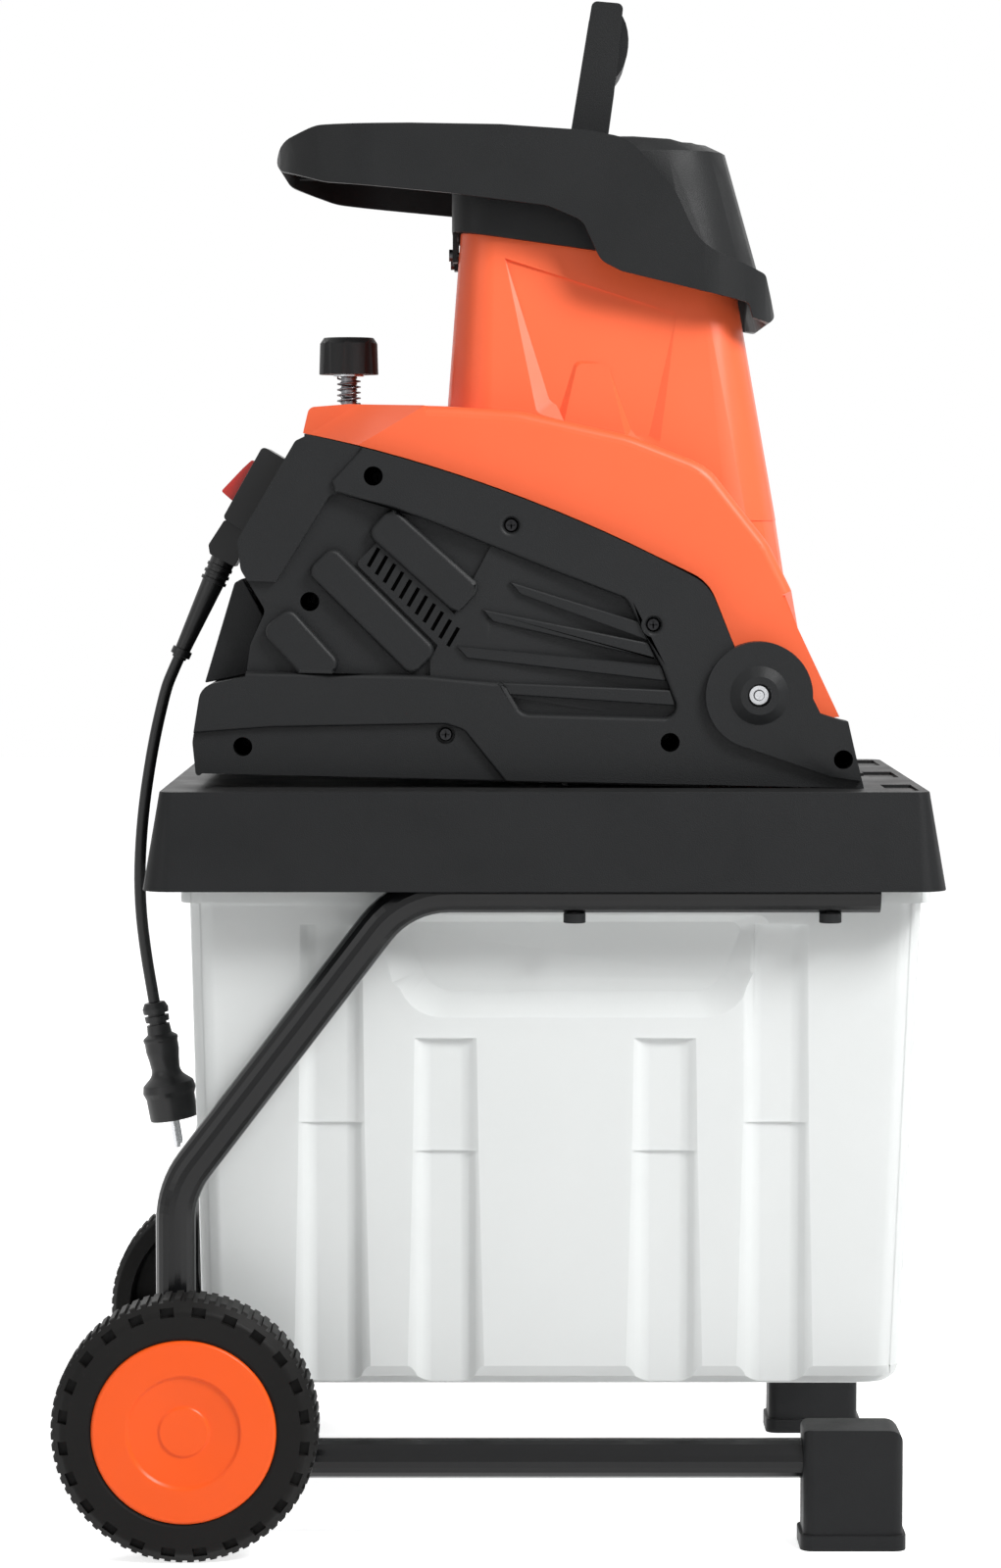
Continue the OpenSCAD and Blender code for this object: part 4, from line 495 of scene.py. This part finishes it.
# Recess in such a side, in mm: spans of its floor's x, z and depth, and of the x, y and z of all its edges
FLOOR_X, FLOOR_Z, FLOOR_DEPTH = (2, 118), (715, 845), (1.4, 2.7)
RECESS_X, RECESS_Y, RECESS_Z = (0, 121), (83, 106.5), (712, 846)
RECESS_CREASE = 8
RECESS_HEIGHT, RECESS_DEPTH, LEAST_DEPTH = 93, 2.8, 0.03
# Lines of its top, left, right and foot, each a point's x and z and a slope
TOP_LINE, LEFT_LINE, RIGHT_LINE, FOOT_LINE = (3, 843, 0.3246), (3, 843, 0.204), (117, 806, 0.1337), (27, 738.5, 0.30)
# How near a wall a point of the floor goes with it, how far it goes, and spans and moves for the tongue's walls
WALL_REACH, LEFT_END, FOOT_REACH, FOOT_FADE = 8, 35, 12, 10
LEFT_WALL, RIGHT_WALL, FOOT_WALL = 9, 8, 7
TONGUE_WALLS = (((40, 54), (715, 774), (-3, 0)), ((66, 88), (715, 772), (3, 0)), ((50, 72), (766, 776), (0, 3)))
# The cover's narrow nose, in mm: the solid's outside by x, the wide side, the nose's side and the crease between
COVER_X = (-131, -107.3, -104.7, -102.3, -100, -52.4, -48.8, -44.9, -43)
COVER_Y = (99.5, 103.5, 104.1, 105.0, 106.1, 131.6, 133.1, 133.9, 134)
COVER_WIDE = 134
NOSE_POINT, NOSE_WIDENS = (-107.3, 103.5), 0.169
CREASE_POINT, CREASE_RUN = (-94, 718), (46, 27)
SHOULDER_STEPS = (0, 7, 14, 21, 27, 33, 38, 42, 45, 48)
SHOULDER_SWEEP = 1.5
# Which faces are cut there, and which points are moved
CUT_ASIDE, CUT_OUT, CUT_END, CUT_LOW = 0.3, 95, -42, 700
MOVED_X, MOVED_Z, SKIN_GAP = (-136, -42.5), (700, 750), 0.5
# Edges of the catch box's flutes: length, rise and round in mm, how their faces lie, and their least angle
FLUTE_LENGTH, FLUTE_RISE, FLUTE_ROUND = 24, 20, 3.6
FLUTE_ASIDE, FLUTE_ANGLE = 0.3, 12


def even_chute(mesh):
    """One shading direction for each leaning side of the chute, which hides its slight twist."""
    normals = [corner.vector.copy() for corner in mesh.corner_normals]
    for side in (-1, 1):
        near = [f for f in mesh.polygons
                if f.normal.y * side > CHUTE_OUT and between(f.normal.z, CHUTE_UP) and abs(f.normal.x) < CHUTE_ALONG]
        total = Vector()
        for face in near:
            total += face.normal * face.area
        if near:
            common = total.normalized()
            for face in near:
                for corner in face.loop_indices:
                    normals[corner] = common
    mesh.normals_split_custom_set(normals)


def round_arch(work):
    """A broad round on the outer edge of the arched cover, below the chute."""
    found = []
    for edge in work.edges:
        if len(edge.link_faces) != 2 or min(v.co.z for v in edge.verts) < ARCH_LOW * MM or not edge.is_convex:
            continue
        if min(abs(v.co.y) for v in edge.verts) < ARCH_OUT * MM:
            continue
        facing = [abs(f.normal.y) for f in edge.link_faces]
        top = edge.link_faces[0] if facing[0] < facing[1] else edge.link_faces[1]
        if min(facing) < TOP_ASIDE and max(facing) > SIDE_ASIDE and top.normal.z > TOP_UP:
            found.append(edge)
    rounded(work, found, ARCH_ROUND, segments=5)


def chute_side(x, z):
    """How far the chute's leaning side stands from the middle."""
    return min(y0 - fall_x * (x - x0) - fall_z * (z - z0) for x0, y0, z0, fall_x, fall_z in CHUTE_PLANES)


def recess_move(x, z, share):
    """How far a point of the recess's floor goes along x and z, so that the wall beside it leans."""
    left = LEFT_LINE[0] + LEFT_LINE[2] * (LEFT_LINE[1] - z)
    right = RIGHT_LINE[0] - RIGHT_LINE[2] * (RIGHT_LINE[1] - z)
    foot = FOOT_LINE[1] - FOOT_LINE[2] * (x - FOOT_LINE[0])
    along, up = 0.0, FOOT_WALL * within_one((foot + FOOT_REACH - z) / FOOT_FADE)
    if x < left + WALL_REACH and x < LEFT_END:
        along += LEFT_WALL * share
    if x > right - WALL_REACH:
        along -= RIGHT_WALL * share
    for span_x, span_z, (move_x, move_z) in TONGUE_WALLS:
        if between(x, span_x) and between(z, span_z):
            along += move_x * share
            up += move_z * share
    return along, up


def by_recess(vert):
    """Whether a point is one of the recess or its rim."""
    x, y, z = vert.co / MM
    return between(x, RECESS_X) and between(abs(y), RECESS_Y) and between(z, RECESS_Z)


def taper_recess(work):
    """The chute's side recess runs out at its top and has leaning walls, as the mould has them."""
    for vert in work.verts:
        x, y, z = vert.co / MM
        depth = chute_side(x, z) - abs(y)
        if not (between(x, FLOOR_X) and between(z, FLOOR_Z) and between(depth, FLOOR_DEPTH)):
            continue
        top = TOP_LINE[1] - TOP_LINE[2] * (x - TOP_LINE[0])
        share = max(0.0, (top - z) / RECESS_HEIGHT)
        along, up = recess_move(x, z, share)
        x, z = x + along, z + up
        out = chute_side(x, z) - max(LEAST_DEPTH, RECESS_DEPTH * share)
        vert.co = Vector((x, math.copysign(out, y), z)) * MM
    work.normal_update()
    for edge in work.edges:
        if len(edge.link_faces) == 2 and edge.calc_face_angle() > math.radians(RECESS_CREASE):
            if all(by_recess(v) for v in edge.verts):
                edge.smooth = False


def sweep_shoulder(work):
    """The cover's broad face runs in to the narrow nose along a leaning crease, as the mould has it."""
    crease_x, crease_z = CREASE_POINT
    run_x, run_z = CREASE_RUN
    across = Vector((-run_z, 0, run_x)).normalized()
    for step in SHOULDER_STEPS:
        near = [f for f in work.faces
                if abs(f.normal.y) > CUT_ASIDE and all(abs(v.co.y) > CUT_OUT * MM for v in f.verts)
                and any(v.co.x < CUT_END * MM and v.co.z > CUT_LOW * MM for v in f.verts)]
        edges = {e for f in near for e in f.edges}
        verts = {v for f in near for v in f.verts}
        bmesh.ops.bisect_plane(work, geom=list(verts) + list(edges) + near, dist=1e-6,
                               plane_co=Vector((crease_x - step, 0, crease_z)) * MM, plane_no=across)
    for vert in work.verts:
        x, y, z = vert.co / MM
        on_skin = abs(abs(y) - np.interp(x, COVER_X, COVER_Y)) < SKIN_GAP
        if on_skin and between(x, MOVED_X) and between(z, MOVED_Z):
            past = crease_x + (z - crease_z) * run_x / run_z - x
            nose = NOSE_POINT[1] + (x - NOSE_POINT[0]) * NOSE_WIDENS
            share = (1 - within_one(past / SHOULDER_STEPS[-1])) ** SHOULDER_SWEEP
            vert.co.y = math.copysign(nose + (COVER_WIDE - nose) * share, y) * MM
    work.normal_update()


def shape_cover(work):
    """The forms of the upper housing that the solid leaves plain."""
    sweep_shoulder(work)
    taper_recess(work)
    round_arch(work)


def round_flutes(work):
    """Broad soft edges on the outside of the box's flutes and grip recess."""
    found = []
    for edge in work.edges:
        if len(edge.link_faces) != 2 or edge.calc_length() < FLUTE_LENGTH * MM:
            continue
        one, other = (v.co for v in edge.verts)
        side = 1 if one.y + other.y > 0 else -1
        outside = min(face.normal.y * side for face in edge.link_faces) > FLUTE_ASIDE
        rises = abs(one.z - other.z) > FLUTE_RISE * MM
        if outside and rises and edge.calc_face_angle() > math.radians(FLUTE_ANGLE):
            found.append(edge)
    rounded(work, found, FLUTE_ROUND, segments=6)


for name, obj in nodes_cad.items():
    coated(obj.data, finish_for(name))

edge_width = {
    "base_tray": 1.6, "foot_right": 1.4, "foot_left": 1.4, "upper_housing": 0.8, "hopper": 2.0, "catch_box": 1.6,
    "pusher": 2.0, "lock_knob": 0.8, "switch_box": 1.2, "inlet_block": 1.2, "switch_flap": 0.6, "rear_cover": 1.2,
    "wheel_cap_right": 0.8, "wheel_cap_left": 0.8, "wheel_right": 0.5, "wheel_left": 0.5, "strain_relief": 0.5,
    "tray_bolts": 0.5, "lower_housing_right": 0.9, "lower_housing_left": 0.9, "plug": 0.5,
}
reshape = {
    "catch_box": {"before": round_flutes, "crease": BOX_CREASE},
    "upper_housing": {"before": shape_cover, "after": even_chute},
    "lower_housing_right": {"before": chamfer_relief},
    "lower_housing_left": {"before": chamfer_relief},
}
shells = {name: softened(name, width, **reshape.get(name, {})) for name, width in edge_width.items()}

spring = placed("lock_spring_coil", as_mesh("lock_spring_coil", merged_copy("lock_spring")))
even_shading(spring.data, COIL_CREASE)
coated(spring.data, finish_for("lock_spring"))
shown_as(spring, "lock_spring")
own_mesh(spring)


# What repeats or follows a path

GROWN_CREASE = 35
# A screw head's top and its cross, as shares of the head's width
HEAD_TAPER, CROSS_SHARE = 0.8, 0.56


def node_tree(name, inputs):
    """An empty geometry tree with a geometry input, named sizes and a finish."""
    tree = bpy.data.node_groups.new(name, "GeometryNodeTree")
    sockets = {}
    tree.interface.new_socket("Geometry", in_out="INPUT", socket_type="NodeSocketGeometry")
    for label, value in inputs.items():
        kind = "NodeSocketInt" if isinstance(value, int) else "NodeSocketFloat"
        socket = tree.interface.new_socket(label, in_out="INPUT", socket_type=kind)
        socket.default_value = value
        sockets[label] = socket.identifier
    tree.interface.new_socket("Finish", in_out="INPUT", socket_type="NodeSocketMaterial")
    sockets["Finish"] = tree.interface.items_tree[len(inputs) + 1].identifier
    tree.interface.new_socket("Geometry", in_out="OUTPUT", socket_type="NodeSocketGeometry")
    return tree, sockets, tree.nodes.new("NodeGroupInput"), tree.nodes.new("NodeGroupOutput")


def half(tree, value):
    """Half of a size."""
    return calc(tree, "MULTIPLY", value, 0.5)


def along_z(tree, value):
    """A vector up the local axis."""
    return add(tree, "ShaderNodeCombineXYZ", Z=value).outputs["Vector"]


def moved_by(tree, geometry, offset):
    """The geometry, moved by a vector."""
    return add(tree, "GeometryNodeTransform", Geometry=geometry, Translation=offset).outputs["Geometry"]


def joined(tree, parts):
    """Several geometries as one."""
    join = tree.nodes.new("GeometryNodeJoinGeometry")
    for part in reversed(parts):
        tree.links.new(part, join.inputs["Geometry"])
    return join.outputs["Geometry"]


def close_tree(tree, given, out, geometry):
    """Realised instances in the given finish, as the tree's result."""
    real = add(tree, "GeometryNodeRealizeInstances", Geometry=geometry).outputs["Geometry"]
    coat = add(tree, "GeometryNodeSetMaterial", Geometry=real, Material=given.outputs["Finish"]).outputs["Geometry"]
    tree.links.new(coat, out.inputs["Geometry"])


def grown(name, points, grower, values, finish, edges=(), aims=()):
    """A mesh grown by a tree on some points, with the tree taken off again."""
    tree, sockets = grower
    seed = bpy.data.meshes.new(name)
    seed.from_pydata(points, edges, [])
    if aims:
        aim = seed.attributes.new("aim", "FLOAT_VECTOR", "POINT")
        for i, direction in enumerate(aims):
            aim.data[i].vector = direction
    obj = placed(name, seed)
    grow = obj.modifiers.new("grow", "NODES")
    grow.node_group = tree
    for label, value in values.items():
        grow[sockets[label]] = value
    grow[sockets["Finish"]] = finish
    mesh = plain_mesh(obj)
    mesh.shade_smooth()
    mesh.set_sharp_from_angle(angle=math.radians(GROWN_CREASE))
    return obj


def cross_screw_tree():
    """Screws with a rounded head and a cross recess, one on each point, along the point's aim."""
    tree, sockets, given, out = node_tree("cross_screws", {
        "Head Width": 9.2 * MM, "Head Height": 3.1 * MM, "Shank Width": 4.6 * MM, "Shank Length": 9.0 * MM,
        "Recess Width": 1.1 * MM, "Recess Depth": 1.5 * MM, "Sides": 28})
    size = given.outputs
    head_r = half(tree, size["Head Width"])
    head = add(tree, "GeometryNodeMeshCone", Vertices=size["Sides"], Radius_Bottom=head_r,
               Radius_Top=calc(tree, "MULTIPLY", head_r, HEAD_TAPER), Depth=size["Head Height"]).outputs["Mesh"]
    carve = tree.nodes.new("GeometryNodeMeshBoolean")
    carve.operation = "DIFFERENCE"
    tree.links.new(head, carve.inputs[0])
    for turn in (0.0, math.pi / 2):
        bar = add(tree, "ShaderNodeCombineXYZ", X=calc(tree, "MULTIPLY", size["Head Width"], CROSS_SHARE),
                  Y=size["Recess Width"], Z=calc(tree, "MULTIPLY", size["Recess Depth"], 2.0)).outputs["Vector"]
        cube = add(tree, "GeometryNodeMeshCube", Size=bar).outputs["Mesh"]
        cut = add(tree, "GeometryNodeTransform", Geometry=cube, Translation=along_z(tree, size["Head Height"]),
                  Rotation=(0, 0, turn))
        tree.links.new(cut.outputs["Geometry"], carve.inputs[1])
    shank = add(tree, "GeometryNodeMeshCylinder", Vertices=16, Radius=half(tree, size["Shank Width"]),
                Depth=size["Shank Length"]).outputs["Mesh"]
    low = along_z(tree, calc(tree, "MULTIPLY", size["Shank Length"], -0.5))
    screw = joined(tree, [carve.outputs["Mesh"], moved_by(tree, shank, low)])
    aim = add(tree, "GeometryNodeInputNamedAttribute", Name="aim")
    aim.data_type = "FLOAT_VECTOR"
    turned = add(tree, "FunctionNodeAlignRotationToVector", Vector=aim.outputs["Attribute"])
    turned.axis = "Z"
    points = add(tree, "GeometryNodeInstanceOnPoints", Points=given.outputs["Geometry"], Instance=screw,
                 Rotation=turned.outputs["Rotation"])
    close_tree(tree, given, out, points.outputs["Instances"])
    return tree, sockets


def lead_tree():
    """A round lead along the given route, closed at both ends."""
    tree, sockets, given, out = node_tree("round_lead", {"Width": LEAD_WIDTH, "Sides": 20})
    line = add(tree, "GeometryNodeMeshToCurve", Mesh=given.outputs["Geometry"]).outputs["Curve"]
    ring = add(tree, "GeometryNodeCurvePrimitiveCircle", Resolution=given.outputs["Sides"],
               Radius=half(tree, given.outputs["Width"])).outputs["Curve"]
    skin = add(tree, "GeometryNodeCurveToMesh", Curve=line, Profile_Curve=ring, Fill_Caps=True).outputs["Mesh"]
    close_tree(tree, given, out, skin)
    return tree, sockets


def stud_tree():
    """A stud with a wound thread, standing on its point."""
    tree, sockets, given, out = node_tree("threaded_stud", {
        "Core Width": 10.5 * MM, "Ridge": 0.72 * MM, "Pitch": 2.0 * MM, "Length": 60.0 * MM})
    size = given.outputs
    wound = calc(tree, "SUBTRACT", size["Length"], size["Pitch"])
    core_r = half(tree, size["Core Width"])
    wind = add(tree, "GeometryNodeCurveSpiral", Resolution=28, Rotations=calc(tree, "DIVIDE", wound, size["Pitch"]),
               Start_Radius=core_r, End_Radius=core_r, Height=wound).outputs["Curve"]
    ridge = add(tree, "GeometryNodeCurvePrimitiveCircle", Resolution=4, Radius=size["Ridge"]).outputs["Curve"]
    thread = add(tree, "GeometryNodeCurveToMesh", Curve=wind, Profile_Curve=ridge, Fill_Caps=True).outputs["Mesh"]
    thread = moved_by(tree, thread, along_z(tree, size["Pitch"]))
    core = add(tree, "GeometryNodeMeshCylinder", Vertices=32, Radius=core_r, Depth=size["Length"]).outputs["Mesh"]
    core = moved_by(tree, core, along_z(tree, half(tree, size["Length"])))
    stud = joined(tree, [core, thread])
    stand = add(tree, "GeometryNodeInstanceOnPoints", Points=given.outputs["Geometry"], Instance=stud)
    close_tree(tree, given, out, stand.outputs["Instances"])
    return tree, sockets


def on_housing(x, z, y):
    """A place on the housing, from millimetres over the tray's deck."""
    return (x * MM, y * MM, DECK_Z + z * MM)


# Housing screws: deep ones in the right half, short ones in both outer faces
DEEP_PLACES = [(-83, 204), (111, 30), (224, 19), (-169, 27), (-125, 122)]
DEEP_Y = -40.1
SHORT_PLACES = [(7, 172), (100, 107), (-36, 35)]
SHORT_Y = (PLATE_Y - FIELD_DEPTH) / MM + 0.1
screws = cross_screw_tree()
deep = grown("housing_screws_deep", [on_housing(x, z, DEEP_Y) for x, z in DEEP_PLACES], screws,
             {"Shank Length": 62.0 * MM}, finish_for("housing_screws"), aims=[(0, -1, 0)] * len(DEEP_PLACES))
sides = [(side, x, z) for side in (-1, 1) for x, z in SHORT_PLACES]
short = grown("housing_screws_short", [on_housing(x, z, side * SHORT_Y) for side, x, z in sides], screws,
              {"Shank Length": 9.0 * MM}, finish_for("housing_screws"), aims=[(0, side, 0) for side, x, z in sides])
for piece in (deep, short):
    shown_as(piece, "housing_screws")

# Black sheets just inside the air slots of both half shells, painted shade: they stand for the dark inside, so that
# nothing shines through
SCREEN_PLACE = (-57, 125)
SCREEN_LINE = [(-40, -11), (40, -11), (43, -8), (43, 8), (40, 11), (-40, 11), (-43, 8), (-43, -8)]
SCREEN_Y = (137.4, 136.6)
screen_flat = [(SCREEN_PLACE[0] + (u + v) / math.sqrt(2), SCREEN_PLACE[1] + (v - u) / math.sqrt(2))
               for u, v in SCREEN_LINE]
screen_work = bmesh.new()
for side in (-1, 1):
    outer, inner = [[screen_work.verts.new(on_housing(x, z, side * y)) for x, z in screen_flat] for y in SCREEN_Y]
    screen_work.faces.new(outer)
    screen_work.faces.new(inner[::-1])
    for i in range(len(screen_flat)):
        screen_work.faces.new((outer[i - 1], inner[i - 1], inner[i], outer[i]))
bmesh.ops.recalc_face_normals(screen_work, faces=screen_work.faces)
vent_shade_sheets = placed("vent_shade_sheets", as_mesh("vent_shade_sheets", screen_work))
coated(vent_shade_sheets.data, vent_shade_black)
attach(vent_shade_sheets, "base")

# Stud of the lock, in its spring
stud_low, stud_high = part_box("lock_stud")
lock_stud = grown("threaded_lock_stud", [((stud_low[0] + stud_high[0]) / 2, 0, stud_low[2])], stud_tree(),
                  {"Length": stud_high[2] - stud_low[2]}, finish_for("lock_stud"))
shown_as(lock_stud, "lock_stud")

# The lead itself, down to its plug
mains_lead = grown("mains_lead", [tuple(p) for p in lead_route], lead_tree(), {"Width": LEAD_WIDTH}, lead_black,
                   edges=[(i, i + 1) for i in range(len(lead_route) - 1)])
shown_as(mains_lead, "mains_cord")


# Studio

FLOOR_HALF = 9.0
FLOOR_GLOW = 0.75
WORLD_LIGHT = 0.29
# Lamps: name, place, what it points at, size and power
LAMPS = (
    ("key", (1.7, -1.9, 2.6), (0, 0, 0.55), (1.1, 1.1), 110),
    ("fill", (-2.3, -2.1, 1.3), (0, 0, 0.5), (1.6, 1.6), 9),
    ("rim", (-0.6, 2.2, 2.4), (0, 0, 0.6), (2.0, 1.0), 30),
)


def seen_by_eye(tree):
    """1 for what the camera, a mirror or clear plastic sees, 0 for light that falls on the object."""
    path = tree.nodes.new("ShaderNodeLightPath")
    total = path.outputs["Is Camera Ray"]
    for other in ("Is Glossy Ray", "Is Transmission Ray"):
        total = calc(tree, "MAXIMUM", total, path.outputs[other])
    return total


def white_floor():
    """A broad floor that shows as white and still takes shadows."""
    s = FLOOR_HALF
    sheet = bpy.data.meshes.new("floor")
    sheet.from_pydata([(-s, -s, 0), (s, -s, 0), (s, s, 0), (-s, s, 0)], [], [(0, 1, 2, 3)])
    floor = placed("floor", sheet)
    mat, tree, shader = blank_finish("white_floor")
    shader.inputs["Base Color"].default_value = (0.90, 0.90, 0.90, 1)
    shader.inputs["Roughness"].default_value = 0.9
    shader.inputs["Emission Color"].default_value = (1, 1, 1, 1)
    tree.links.new(calc(tree, "MULTIPLY", seen_by_eye(tree), FLOOR_GLOW), shader.inputs["Emission Strength"])
    sheet.materials.append(mat)


def white_world():
    """White all round for the eye, and a weaker light on the object."""
    world = bpy.data.worlds.new("studio")
    bpy.context.scene.world = world
    world.use_nodes = True
    tree = world.node_tree
    back = tree.nodes["Background"]
    back.inputs["Color"].default_value = (1, 1, 1, 1)
    tree.links.new(spread(tree, seen_by_eye(tree), WORLD_LIGHT, 1.0, 0.0, 1.0), back.inputs["Strength"])


def lamp(name, place, target, size, power):
    """A broad lamp that points at a place."""
    light = bpy.data.lights.new(name, "AREA")
    light.shape = "RECTANGLE"
    light.size, light.size_y = size
    light.energy = power
    obj = bpy.data.objects.new(name, light)
    obj.location = place
    obj.rotation_euler = (Vector(target) - Vector(place)).to_track_quat("-Z", "Y").to_euler()
    bpy.context.scene.collection.objects.link(obj)


white_floor()
white_world()
for values in LAMPS:
    lamp(*values)
bpy.context.scene.view_settings.view_transform = "Standard"
